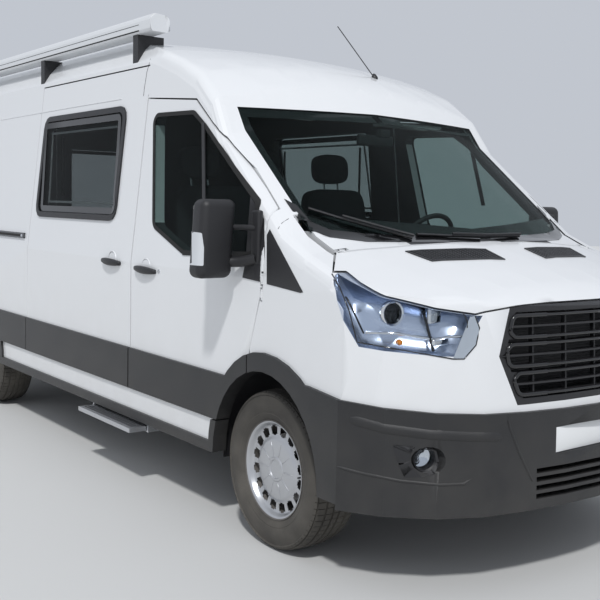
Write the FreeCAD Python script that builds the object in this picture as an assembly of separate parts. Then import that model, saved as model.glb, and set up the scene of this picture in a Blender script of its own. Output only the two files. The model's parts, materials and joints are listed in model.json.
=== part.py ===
import FreeCAD, Part
import math
import os
from FreeCAD import Vector, Rotation

# Long-wheelbase mid-roof panel van fitted out as a camper.
# Millimetres, +X forward, +Y to the van's left, +Z up, ground at z = 0, origin under mid-length.

# Overall sizes
length = 5981.0
wheelbase = 3750.0
front_overhang = 1023.0
roof_z = 2500.0
half_width = 1015.0
cladding_out = 14.5
bumper_out = 15.0
wall = 60.0
glass_t = 6.0
panel_gap = 8.0
running_gap = 0.3
overrun = 400.0

# Stations along the van
front_x = length / 2
rear_x = -length / 2
front_axle_x = front_x - front_overhang
rear_axle_x = front_axle_x - wheelbase
rear_skin_x = rear_x + 36.0
nose_x = front_x - bumper_out

# Body section
sill_z = 352.0
belt_z = 1200.0
lean_share = 0.11
slant_share = 0.6
shoulder_bend_share = 0.62
gutter_z = 2290.0
shoulder_y = 600.0
shoulder_z = 2535.0
roof_crown = 50.0
crown_half = 1100.0
side_round = 55.0
fender_round = 45.0
rear_corner = 130.0
tail_edge_out = 35.0
tail_round = 150.0

# Windscreen and roof front
header_x = 1480.0
header_z = 2013.0
screen_base_x = 2300.0
screen_base_z = 1375.0
screen_crown = 231.0
cap_start_x = -100.0
cap_shares = [(0.22, 0.05, 60.0 / 231), (0.50, 0.20, 80.0 / 231), (0.75, 0.41, 130.0 / 231),
              (0.87, 0.571, 170.0 / 231), (0.943, 0.76, 205.0 / 231)]

# Bonnet surface
bonnet_rear_x = 2020.0
bonnet_rear_z = 1500.0
bonnet_end_x = 3000.0
bonnet_end_z = 1100.0
bonnet_crown = 121.0
bonnet_shares = [(0.184, 0.19), (0.286, 0.28), (0.49, 0.43), (0.694, 0.595), (0.847, 0.7325), (0.929, 0.83)]

# How finely the skin is drawn: stations along the cap, the bonnet and the nose, then points of half a section
corner_passes = 6
taper_share = 0.45
edge_out = 2.0
fine_skin = (9, 6, 15, [0.0, 0.25, 0.5, 0.75, 1.0], [(0.38, 0.06), (0.74, 0.28), (0.94, 0.62), (1.0, 1.0)])
plain_skin = (5, 3, 9, [0.0, 0.5, 1.0], [(1.0, 1.0)])

# Nose in plan: distances back from its front line at share of half-width
nose_plan_shares = [(0.335, 0.032), (0.65, 0.110)]
corner_x = 2600.0
corner_y = 962.0
nose_side_x = 2280.0
nose_levels = [(sill_z, 0.0), (760.0, 10.0), (1150.0, 33.0), (1450.0, 145.0), (2700.0, 145.0)]

# Wheels
tyre_r = 356.0
tyre_w = 235.0
rim_r = 221.0
track_front = 1732.0
track_rear = 1743.0
arch_half = 408.0
arch_top = 444.0
flare_half = 452.0
flare_top = 528.0
house_margin = 22.0
house_t = 8.0
tower_r = 43.0
house_in_front = 525.0
house_in_rear = 700.0

# Side openings, right side in side view
door_foot_z = 516.0
door_front_low_x = 1838.0
door_front_x = 1935.0
door_front_z = 1178.0
pillar_low = (1911.0, 1526.0)
pillar_mid = (1555.0, 1778.0)
pillar_top = (1185.0, 2039.0)
slide_rear_x = -864.0
slide_top_z = 2262.0

# Front panels
bonnet_t = 22.0
bonnet_edge_rear = (2240.0, 845.0)
bonnet_edge_front = (2400.0, 985.0)
lamp_tip = (2405.0, 1262.0)
lamp_inner_top = (2840.0, 1118.0)
lamp_rear_foot = (2560.0, 985.0)
lamp_inner_foot_z = 955.0
lamp_inner_top_y = 600.0
lamp_inner_foot_y = 690.0
grille_top_z = 1152.0
grille_foot_z = 757.0
grille_half_top = 476.0
grille_half_mid = 530.0
grille_half_foot = 447.0
bumper_top_side_z = 791.0
bumper_top_mid_z = 723.0
bumper_step_share = 0.62


seam_x = 662.0
cap_seam_low = (607.0, 2110.0)
cap_seam_high_x = 649.0
cap_rail = 20.0
split_front_x = 2600.0
screen_corner_low = (852.0, 1416.0)
screen_corner_top = (813.0, 2001.0)
screen_foot_z = 1390.0
cowl_x = 2150.0
bulkhead_t = 20.0

front_flare_half = 530.0
bumper_foot_z = 330.0
cowl_half = 880.0
bulkhead_half = 600.0
screen_corner_top_x = 1318.0
sail_tip = (2237.0, 1173.0)
bonnet_rear_sag = 95.0
bonnet_fall_share = 0.2

# Door windows in side view, right side
door_glass = [(762.0, 1985.0), (1180.0, 1975.0), (1310.0, 1898.0), (1590.0, 1700.0), (1830.0, 1535.0),
              (1838.0, 1310.0), (1227.0, 1284.0), (883.0, 1407.0)]
door_glass_round = [40.0, 60.0, 90.0, 200.0, 25.0, 25.0, 120.0, 60.0]
camper_glass = [(-740.0, 2030.0), (392.0, 2030.0), (392.0, 1448.0), (-740.0, 1448.0)]
camper_round = 45.0
camper_frame = 34.0
camper_frame_out = 10.0
camper_pane_out = 4.0
camper_pane_t = 8.0

# Rear doors
rear_door_half = 778.0
rear_door_foot_z = 590.0
rear_door_top_z = 2330.0
rear_glass = [(130.0, 1980.0), (660.0, 1980.0), (680.0, 1400.0), (130.0, 1400.0)]
rear_glass_t = 6.0

# Side mouldings and sills
moulding_foot_z = 516.0
moulding_top_z = 735.0
skirt_top_z = 402.0

# Hinges
hinge_pin_r = 4.0
hinge_barrel_r = 7.5
hinge_pocket_r = 15.0
hinge_barrel_len = 30.0
hinge_lug_t = 8.0
hinge_reach = 32.0
hinge_arm_share = 0.8
pin_clearance = 0.05
door_hinge_x = 1930.0
door_hinge_in = 5.0
door_hinge_levels = [1135.0, 1205.0]
door_hinge_scale = 2.0 / 3.0
door_reach_share = 3.3
rear_gap_share = 1.5
rear_hinge_out = 14.0
rear_hinge_levels = [860.0, 1900.0]
bonnet_hinge_x = 2234.0
bonnet_hinge_y = 815.0
bonnet_hinge_z = 1338.0

# Floor, rails and bulkhead
floor_z = 650.0
floor_t = 40.0
cab_floor_x = 1500.0
cover_front_x = 520.0
cover_half = 930.0
cover_t = 3.0
rail_y = 440.0
rail_w = 60.0
rail_foot_z = 440.0
rail_front_x = 2800.0
rail_front_h = 100.0
member_w = 70.0
member_xs_share = [0.06, 0.2, 0.37, 0.55, 0.72, 0.88]

# Front suspension
kingpin_low = (790.0, 235.0)
kingpin_top = (690.0, 780.0)
hub_r = 60.0
stub_r = 22.0
joint_r = 11.0
strut_r = 26.0
spring_r = 46.0
carrier_arm_r = 19.0
subframe_z = 215.0
subframe_t = 60.0
pin_short = 1.8
arm_waist = 144.0
arm_front_reach = 84.0

# Mirrors, handles and slide rail
mirror_x = (1660.0, 1775.0)
mirror_y = (1055.0, 1240.0)
mirror_z = (1195.0, 1550.0)
mirror_round = 34.0
mirror_chamfer_share = 0.6
mirror_arm_r = 16.0
mirror_arm_levels = [1290.0, 1420.0]
mirror_base_x = (1836.0, 1899.0)
mirror_base_z = (1262.0, 1505.0)
mirror_base_out = 14.0
mirror_glass_t = 4.0
mirror_rim = 22.0
handle_len = 256.0
handle_h = 30.0
handle_out = 32.0
handle_t = 13.0
handle_post = 30.0
handle_front_x = 841.0
handle_slide_x = 430.0
handle_z = 1174.0
slide_rail_z = (1262.0, 1298.0)
slide_rail_x = (-2420.0, -934.0)
slide_rail_out = 9.0

# Bumper details
plate_half = 260.0
plate_z = (545.0, 657.0)
plate_x = 2955.0
plate_t = 6.0
fog_y = 800.0
fog_z = 560.0
fog_r = 52.0
intake_half = 360.0
intake_z = (372.0, 496.0)
intake_bars = 3
intake_bar_h = 14.0
grille_rim = 26.0
grille_loops = 3
grille_bar_t = 11.0
grille_gap = 16.0
grille_slat_h = 8.0
grille_ribs = 5
grille_depth = 34.0
grille_setback = 14.0
rear_bumper_z = (410.0, 572.0)
rear_bumper_half = 985.0
tail_lamp_z = (940.0, 1440.0)
tail_lamp_y = 850.0
crash_beam_t = 38.0

# Running gear
hub_half = 40.0
boss_r = 62.0
rim_wall = 8.0
rim_seat_drop = 16.0
rim_edge = 103.0
disc_y = (66.0, 82.0)
slot_count = 16
slot_r = (148.0, 184.0)
slot_w = 34.0
slot_foot = 22.0
tyre_shares = [(0.745, 0.0), (0.87, 0.21), (1.0, 0.55), (0.95, 0.84), (0.81, 0.97)]
bead_share = 0.375
dish_shares = (0.8, 0.55, 0.92)
dish_depth = 6.0
dish_lip = 4.0
hub_relief = 2.0
hub_cap_inset = 14.0
hub_cap_t = 12.0
brake_r = 150.0
brake_t = 22.0
beam_r = 38.0
seat_half_x = 60.0
leaf_half_run = 620.0
leaf_rise = 40.0
leaf_t = 22.0
leaf_w = 60.0
rear_rail_h = 140.0
steer_gap = 0.3
arm_foot_z = 182.0
arm_top_z = 211.0
lug_r = 27.0
lug_half = 18.0
house_foot_front = 316.0
house_foot_rear = 470.0
engine_x = (2200.0, 2680.0)
engine_half = 330.0
engine_z = (480.0, 1010.0)
engine_ear_x = (2380.0, 2460.0)
engine_ear_h = 30.0
pipe_r = 30.0
pipe_y = 250.0
pipe_z = 402.0
pipe_bend_x = -1050.0
pipe_end_y = 900.0
silencer_r = 75.0
silencer_x = (-400.0, 200.0)
hanger_shares = member_xs_share[3:5]

# Cab
seat_y = 445.0
seat_half = 250.0
double_seat_y = (-725.0, 90.0)
seat_back_x = 560.0
cushion_outline = [(90.0, 255.0), (90.0, 390.0), (600.0, 410.0), (610.0, 275.0)]
cushion_radii = [20.0, 30.0, 50.0, 40.0]
back_outline = [(40.0, 290.0), (-60.0, 975.0), (40.0, 990.0), (170.0, 310.0)]
back_radii = [20.0, 40.0, 40.0, 20.0]
seat_box_x = (140.0, 540.0)
seat_box_in = 50.0
seat_box_h = 265.0
rest_outline = [(-75.0, 1015.0), (-90.0, 1180.0), (-5.0, 1185.0), (15.0, 1020.0)]
rest_radii = [20.0, 30.0, 35.0, 20.0]
rest_half = 130.0
rest_post = [(-10.0, 950.0), (-40.0, 1050.0)]
rest_post_r = 8.0
dash_half = 915.0
dash_outline = [(1760.0, 1100.0), (1740.0, 1240.0), (1850.0, 1345.0), (2130.0, 1385.0), (2150.0, 1340.0),
                (2150.0, 880.0), (1950.0, 860.0), (1860.0, 1040.0)]
dash_radii = [30.0, 40.0, 60.0, 12.0, 12.0, 12.0, 40.0, 40.0]
wheel_centre = (1430.0, 440.0, 1320.0)
wheel_rise_deg = 30.0
wheel_ring_r = 190.0
wheel_grip_r = 15.0
wheel_hub_r = 48.0
wheel_spoke_r = 12.0
column_r = 12.0
column_cover_r = 34.0
column_len = 470.0

# Camper fittings
awning_x = (-2650.0, 648.0)
awning_y = (782.0, 902.0)
awning_z = (2452.0, 2552.0)
awning_round = 34.0
bracket_xs = [-2450.0, -950.0, 420.0]
bracket_w = 60.0
bracket_y = (730.0, 890.0)
step_x = (150.0, 850.0)
step_reach = 85.0
step_in_y = 620.0
step_tread_t = 24.0
step_cheek = 24.0
step_lip = 6.0
step_top_t = 14.0
kitchen_x = (-820.0, 380.0)
kitchen_y = (470.0, 880.0)
kitchen_top_z = 1400.0
bed_x = (-2860.0, -1180.0)
bed_z = (862.0, 900.0)
bed_half = 860.0
antenna_x = 1150.0
antenna_y = 270.0
antenna_lean = (-0.72, 0.0, 0.69)
antenna_len = 500.0
antenna_r = 4.0
antenna_foot = 18.0
wiper_w = 22.0
bonnet_rear_gap = 14.0
wiper_lines = [(-620.0, -60.0, 1462.0, 1412.0), (60.0, 640.0, 1412.0, 1462.0)]

# Flats that stand for round forms
corner_steps = 3
seat_steps = 2
arch_sides = 36
house_sides = 20
bar_sides = 8
hinge_sides = 8
wheel_sides = 24
grip_sides = 16
tube_sides = 6
half_step_share = 0.5
shoulder_steps = 4
leaf_steps = 6


def face(points):
    return Part.Face(Part.makePolygon(points + [points[0]]))


def prism_y(outline, y_start, y_end):
    base = face([Vector(x, y_start, z) for x, z in outline])
    return base.extrude(Vector(0, y_end - y_start, 0))


def prism_x(outline, x_start, x_end):
    base = face([Vector(x_start, y, z) for y, z in outline])
    return base.extrude(Vector(x_end - x_start, 0, 0))


def prism_z(outline, z_start, z_end):
    base = face([Vector(x, y, z_start) for x, y in outline])
    return base.extrude(Vector(0, 0, z_end - z_start))


def box(x_pair, y_pair, z_pair):
    size = [high - low for low, high in (x_pair, y_pair, z_pair)]
    return Part.makeBox(*size, Vector(x_pair[0], y_pair[0], z_pair[0]))


def fuse(shapes):
    joined = shapes[0]
    if len(shapes) > 1:
        joined = joined.multiFuse(shapes[1:])
    return joined.removeSplitter()


def mirrored(shape):
    return shape.mirror(Vector(0, 0, 0), Vector(0, 1, 0))


def rod(start, end, radius):
    span = end - start
    return Part.makeCylinder(radius, span.Length, start, span)


def round_outline(outline, radii, steps):
    """Closed wire in the XZ plane, each corner turned by short flats on an arc of its own radius."""
    count = len(outline)
    points = []
    for i in range(count):
        here = Vector(outline[i][0], 0, outline[i][1])
        before = Vector(outline[i - 1][0], 0, outline[i - 1][1])
        after = Vector(outline[(i + 1) % count][0], 0, outline[(i + 1) % count][1])
        back = (before - here).normalize()
        ahead = (after - here).normalize()
        half = back.getAngle(ahead) / 2
        centre = here + (back + ahead).normalize() * (radii[i] / math.sin(half))
        start = here + back * (radii[i] / math.tan(half)) - centre
        end = here + ahead * (radii[i] / math.tan(half)) - centre
        turn = math.pi - 2 * half
        for step in range(steps + 1):
            share = step / steps
            points.append(centre + (start * math.sin(turn * (1 - share)) + end * math.sin(turn * share))
                          * (1 / math.sin(turn)))
    return Part.makePolygon(points + [points[0]])


def rounded_prism_y(outline, radii, y_start, y_end, steps=corner_steps):
    base = Part.Face(round_outline(outline, radii, steps))
    base.translate(Vector(0, y_start, 0))
    return base.extrude(Vector(0, y_end - y_start, 0))


def ellipse_prism(centre_x, half, height, y_start, y_end, sides=arch_sides):
    outline = []
    for i in range(sides):
        angle = 2 * math.pi * i / sides
        outline.append((centre_x + half * math.cos(angle), tyre_r + height * math.sin(angle)))
    return prism_y(outline, y_start, y_end)


def flat_arc(start, middle, end, steps):
    """Points of short flats along the arc through three points."""
    return Part.Arc(start, middle, end).toShape().discretize(Number=steps + 1)


def bar(start, end, radius, sides=bar_sides):
    """Rod with flat sides, for what nothing turns on."""
    span = end - start
    side = span.cross(Vector(0, 0, 1))
    if side.Length < span.Length * running_gap / wall:
        side = Vector(1, 0, 0)
    side.normalize()
    up = span.cross(side).normalize()
    reach = radius / math.cos(math.pi / sides)
    points = []
    for i in range(sides):
        angle = 2 * math.pi * (i + half_step_share) / sides
        points.append(start + side * (reach * math.cos(angle)) + up * (reach * math.sin(angle)))
    return face(points).extrude(span)


def flat_ring(points, sides):
    """Ring about the Y axis with flats, from a closed outline of (y, radius) points; a flat lies lowest."""
    turn = 2 * math.pi / sides
    rings = []
    for y, radius in points:
        reach = radius / math.cos(turn / 2)
        angles = [turn * (i + half_step_share) for i in range(sides)]
        rings.append([Vector(reach * math.sin(angle), y, -reach * math.cos(angle)) for angle in angles])
    flats = []
    for here, ahead in zip(rings, rings[1:] + rings[:1]):
        for i in range(sides):
            k = (i + 1) % sides
            flats.append(face([here[i], here[k], ahead[k], ahead[i]]))
    shell = Part.makeShell(flats)
    shell.sewShape()
    ring = Part.makeSolid(shell)
    if ring.Volume < 0:
        ring.reverse()
    return ring


# Body solid: crown sections lofted along the van, cut by the side section and the plan outline

def crown_corner(x, top, drop, inset):
    """Where the crown at a station meets the body's side, a little outside it."""
    z = top
    for _ in range(corner_passes):
        y = min(side_y(z), corner_y + (corner_x - x) * taper_share) - inset + edge_out
        z = top - drop * (y / crown_half) ** 2
    return y, z


def crown(x, top, drop, floor, turn, inset, skin):
    """Section of the upper skin: a crown that turns down at each side by a rounded edge."""
    foot = Vector(x, half_width + overrun, floor)
    y, z = crown_corner(x, top, drop, inset)
    fall = 2 * drop * y / crown_half ** 2
    line = []
    for share in skin[3]:
        across = (y - turn) * share
        line.append(Vector(x, across, top - drop * (across / crown_half) ** 2))
    for along, down in skin[4]:
        line.append(Vector(x, y - turn * (1 - along), z + fall * turn * (1 - along) - turn * down))
    line.append(foot)
    ring = line + [Vector(p.x, -p.y, p.z) for p in reversed(line[1:])]
    return Part.makePolygon(ring + [ring[0]])


def crown_loft(stations, floor, turn, inset, skin):
    sections = [crown(x, top, drop, floor, turn, inset, skin) for x, top, drop in stations]
    return Part.makeLoft(sections, True, True)


def smooth_stations(stations, count):
    """Stations at even steps along the smooth line through the given ones."""
    line = Part.BSplineCurve()
    line.interpolate([Vector(*station) for station in stations])
    return [tuple(point) for point in line.discretize(Number=count)]


def upper_envelope(inset, floor, skin):
    roof = roof_z - inset
    slant = inset * slant_share
    header = (header_x - slant, header_z - slant, screen_crown)
    cap_run = header_x - cap_start_x
    cap_fall = roof_z - header_z
    cap = [(cap_start_x, roof, roof_crown)]
    for run_share, fall_share, crown_share in cap_shares:
        x = cap_start_x + cap_run * run_share
        cap.append((x, roof - cap_fall * fall_share, screen_crown * crown_share))
    bonnet_run = bonnet_end_x - bonnet_rear_x
    bonnet_fall = bonnet_rear_z - bonnet_end_z
    bonnet_top = bonnet_rear_z - inset
    bonnet = [(bonnet_rear_x, bonnet_top, bonnet_crown)]
    for run_share, fall_share in bonnet_shares:
        x = bonnet_rear_x + bonnet_run * run_share
        bonnet.append((x, bonnet_top - bonnet_fall * fall_share, bonnet_crown))
    bonnet.append((bonnet_end_x, bonnet_end_z - inset, bonnet_crown))
    screen = (screen_base_x - slant, screen_base_z - slant, screen_crown)
    back = [(rear_skin_x, roof, roof_crown), (cap_start_x, roof, roof_crown)]
    lofts = [crown_loft(back, floor, side_round, inset, skin),
             crown_loft(smooth_stations(cap + [header], skin[0]), floor, side_round, inset, skin),
             crown_loft([header, screen], floor, side_round, inset, skin),
             crown_loft(smooth_stations(bonnet, skin[1]), floor, fender_round, inset, skin)]
    return fuse(lofts)


def side_y(z):
    return half_width - lean_share * max(0, z - belt_z)


def section_prism(inset, floor):
    width = half_width - inset
    gutter_y = width - lean_share * (gutter_z - belt_z)
    top_y = shoulder_y - inset
    bend_y = (gutter_y + top_y) / 2 + wall / 2
    bend_z = gutter_z + (shoulder_z - gutter_z) * shoulder_bend_share - inset / 2
    roof_half = Vector(rear_x, top_y, shoulder_z - inset)
    lid_z = shoulder_z + overrun
    gutter = Vector(rear_x, gutter_y, gutter_z)
    arc = flat_arc(gutter, Vector(rear_x, bend_y, bend_z), roof_half, shoulder_steps)
    low = [Vector(rear_x, width, floor), Vector(rear_x, width, belt_z)]
    left = low + arc + [Vector(rear_x, top_y, lid_z)]
    right = [Vector(rear_x, -p.y, p.z) for p in reversed(left)]
    return face(left + right).extrude(Vector(length, 0, 0))


def plan_wire(inset, level, setback, steps):
    front = nose_x - setback - inset
    side = half_width + wall
    rear = rear_skin_x + inset
    bulge = [Vector(nose_side_x - inset, -side, level)]
    bulge.append(Vector(corner_x - inset, inset / 2 - corner_y, level))
    for y_share, back_share in reversed(nose_plan_shares):
        bulge.append(Vector(front - half_width * back_share, -half_width * y_share, level))
    bulge.append(Vector(front, 0, level))
    bulge += [Vector(p.x, -p.y, level) for p in bulge[-2::-1]]
    curve = Part.BSplineCurve()
    curve.interpolate(bulge)
    turn = rear_corner
    edge_y = half_width + tail_edge_out
    cut = turn * (1 - math.cos(math.pi / 4))
    left = flat_arc(Vector(rear + turn, edge_y, level), Vector(rear + cut, edge_y - cut, level),
                    Vector(rear, edge_y - turn, level), corner_steps)
    right = [Vector(p.x, -p.y, level) for p in reversed(left)]
    ring = left + right + curve.discretize(Number=steps)
    return Part.makePolygon(ring + [ring[0]])


def body_solid(inset, floor, skin):
    levels = [(floor, 0.0)] + nose_levels[1:]
    plans = [plan_wire(inset, level, setback, skin[2]) for level, setback in levels]
    plan = Part.makeLoft(plans, True, True)
    upper = upper_envelope(inset, floor - wall, skin)
    return upper.common(section_prism(inset, floor)).common(plan).removeSplitter()


def round_tail(solid):
    """Round the roof's rear edge."""
    rear = rear_skin_x - glass_t
    top = roof_z + glass_t
    profile = [(rear, -overrun), (rear, top), (front_x + overrun, top), (front_x + overrun, -overrun)]
    tail = rounded_prism_y(profile, [glass_t, tail_round, glass_t, glass_t], -half_width - overrun,
                           half_width + overrun)
    return solid.common(tail)


# Panels of the body shell

def ring_y(centre_x, front_half, outer_top, y_start, y_end):
    """Outer shape of a wheel arch: a wider half ellipse ahead of the axle than behind it."""
    rear = ellipse_prism(centre_x, flare_half, outer_top, y_start, y_end)
    ahead = ellipse_prism(centre_x, front_half, outer_top, y_start, y_end)
    split = box((centre_x, centre_x + 2 * front_half), (y_start, y_end), (-overrun, 2 * flare_top))
    return fuse([rear.cut(split), ahead.common(split)])


def door_outline(grow):
    rear = seam_x + panel_gap - grow * rear_gap_share
    return [(rear, door_foot_z - grow), (rear, cap_seam_low[1] - cap_rail - panel_gap + grow),
            (pillar_top[0] + grow, pillar_top[1] + grow),
            (pillar_mid[0] + grow, pillar_mid[1] + grow), (pillar_low[0] + grow, pillar_low[1] + grow),
            (door_front_x + grow, door_front_z), (door_front_low_x + grow, tyre_r + flare_top),
            (door_front_low_x + grow, door_foot_z - grow)]


def slide_outline(grow):
    front = seam_x - panel_gap / 2 + grow
    return [(slide_rear_x - grow, door_foot_z - grow), (slide_rear_x - grow, slide_top_z + grow),
            (front, slide_top_z + grow), (front, door_foot_z - grow)]


def bonnet_shape(grow):
    plan = [(bonnet_edge_rear[0] - grow, 0), (bonnet_edge_rear[0] - grow, bonnet_edge_rear[1] + grow),
            (bonnet_edge_front[0], bonnet_edge_front[1] + grow), (corner_x, half_width + overrun),
            (front_x + overrun, half_width + overrun), (front_x + overrun, 0)]
    plan += [(x, -y) for x, y in reversed(plan[1:-1])]
    rise = panel_gap - grow
    back_x = bonnet_edge_rear[0] - overrun
    side = [(back_x, lamp_tip[1] + rise), (lamp_tip[0], lamp_tip[1] + rise),
            (lamp_inner_top[0], lamp_inner_top[1] + rise), (lamp_inner_top[0] + wall, grille_top_z + rise),
            (front_x + overrun, grille_top_z + rise), (front_x + overrun, roof_z), (back_x, roof_z)]
    base = prism_z(plan, sill_z, roof_z)
    return base.common(prism_y(side, -half_width - overrun, half_width + overrun))


def screen_outline():
    foot_sag = screen_corner_low[1] - screen_foot_z
    return [(-screen_corner_low[0], screen_corner_low[1]), (0, screen_foot_z - foot_sag), screen_corner_low,
            screen_corner_top, (0, header_z + glass_t), (-screen_corner_top[0], screen_corner_top[1])]


def lamp_shape():
    side = [lamp_tip, lamp_inner_top, (front_x, lamp_inner_top[1]), (front_x, lamp_inner_foot_z),
            (lamp_inner_top[0], lamp_inner_foot_z), lamp_rear_foot]
    across = [(-lamp_inner_top_y, roof_z), (-lamp_inner_top_y, lamp_inner_top[1]),
              (-lamp_inner_foot_y, lamp_inner_foot_z), (-lamp_inner_foot_y, sill_z),
              (-half_width - overrun, sill_z), (-half_width - overrun, roof_z)]
    return prism_y(side, -half_width - overrun, -rail_y).common(prism_x(across, lamp_tip[0] - wall, front_x))


def lean_slab(out, deep, x_pair, z_pair):
    """Slab that follows the leaning side above the belt on the right side."""
    low, high = z_pair
    outline = [(-side_y(low) - out, low), (-side_y(high) - out, high), (-side_y(high) + deep, high),
               (-side_y(low) + deep, low)]
    return prism_x(outline, x_pair[0], x_pair[1])


def side_layer(deep):
    """All that lies outside a surface set in from the right side, below and above the belt."""
    outline = [(-half_width - overrun, 0), (-half_width - overrun, roof_z), (-side_y(roof_z) + deep, roof_z),
               (-half_width + deep, belt_z), (-half_width + deep, 0)]
    return prism_x(outline, rear_x - overrun, front_x)


def grown(outline, out):
    """Rectangle in side view grown on all sides; corners from rear top round to rear foot."""
    signs = [(-1, 1), (1, 1), (1, -1), (-1, -1)]
    return [(x + sx * out, z + sz * out) for (x, z), (sx, sz) in zip(outline, signs)]


def hinge_bits(centre, axis, to_fixed, to_moving, scale=1):
    """Pocket and bore, then the fixed panel's pin with two lugs and the moving one's barrel with an arm."""
    half = hinge_barrel_len / 2
    total = half + hinge_lug_t + running_gap
    barrel_r = hinge_barrel_r * scale
    pin_r = hinge_pin_r * scale
    pocket = bar(centre - axis * (total + hinge_lug_t), centre + axis * (total + hinge_lug_t),
                 hinge_pocket_r * scale, hinge_sides)
    pin = rod(centre - axis * total, centre + axis * total, pin_r)
    bore = rod(centre - axis * total, centre + axis * total, pin_r + pin_clearance)
    barrel = bar(centre - axis * half, centre + axis * half, barrel_r, hinge_sides)
    arm = arm_block(centre - axis * half, axis * hinge_barrel_len, to_moving, barrel_r)
    held = [pin]
    for sign in (-1, 1):
        start = centre + axis * (sign * (half + running_gap))
        lug_axis = axis * (sign * hinge_lug_t)
        held.append(bar(start, start + lug_axis, barrel_r, hinge_sides))
        held.append(arm_block(start, lug_axis, to_fixed, barrel_r))
    return pocket, bore, fuse(held), fuse([barrel, arm])


def seat_hinge(fixed, moving, bits):
    pocket, bore, held, turning = bits
    return fuse([fixed.cut(pocket), held]), fuse([moving.cut(pocket), turning]).cut(bore)


def arm_block(start, along, toward, barrel_r):
    """Plate a little thinner than the barrel that runs from the hinge axis into a panel."""
    side = along.cross(toward).normalize() * (barrel_r * hinge_arm_share)
    reach = toward * hinge_reach
    corners = [start - side, start + side, start + side + reach, start - side + reach]
    return face(corners).extrude(along)


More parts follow.
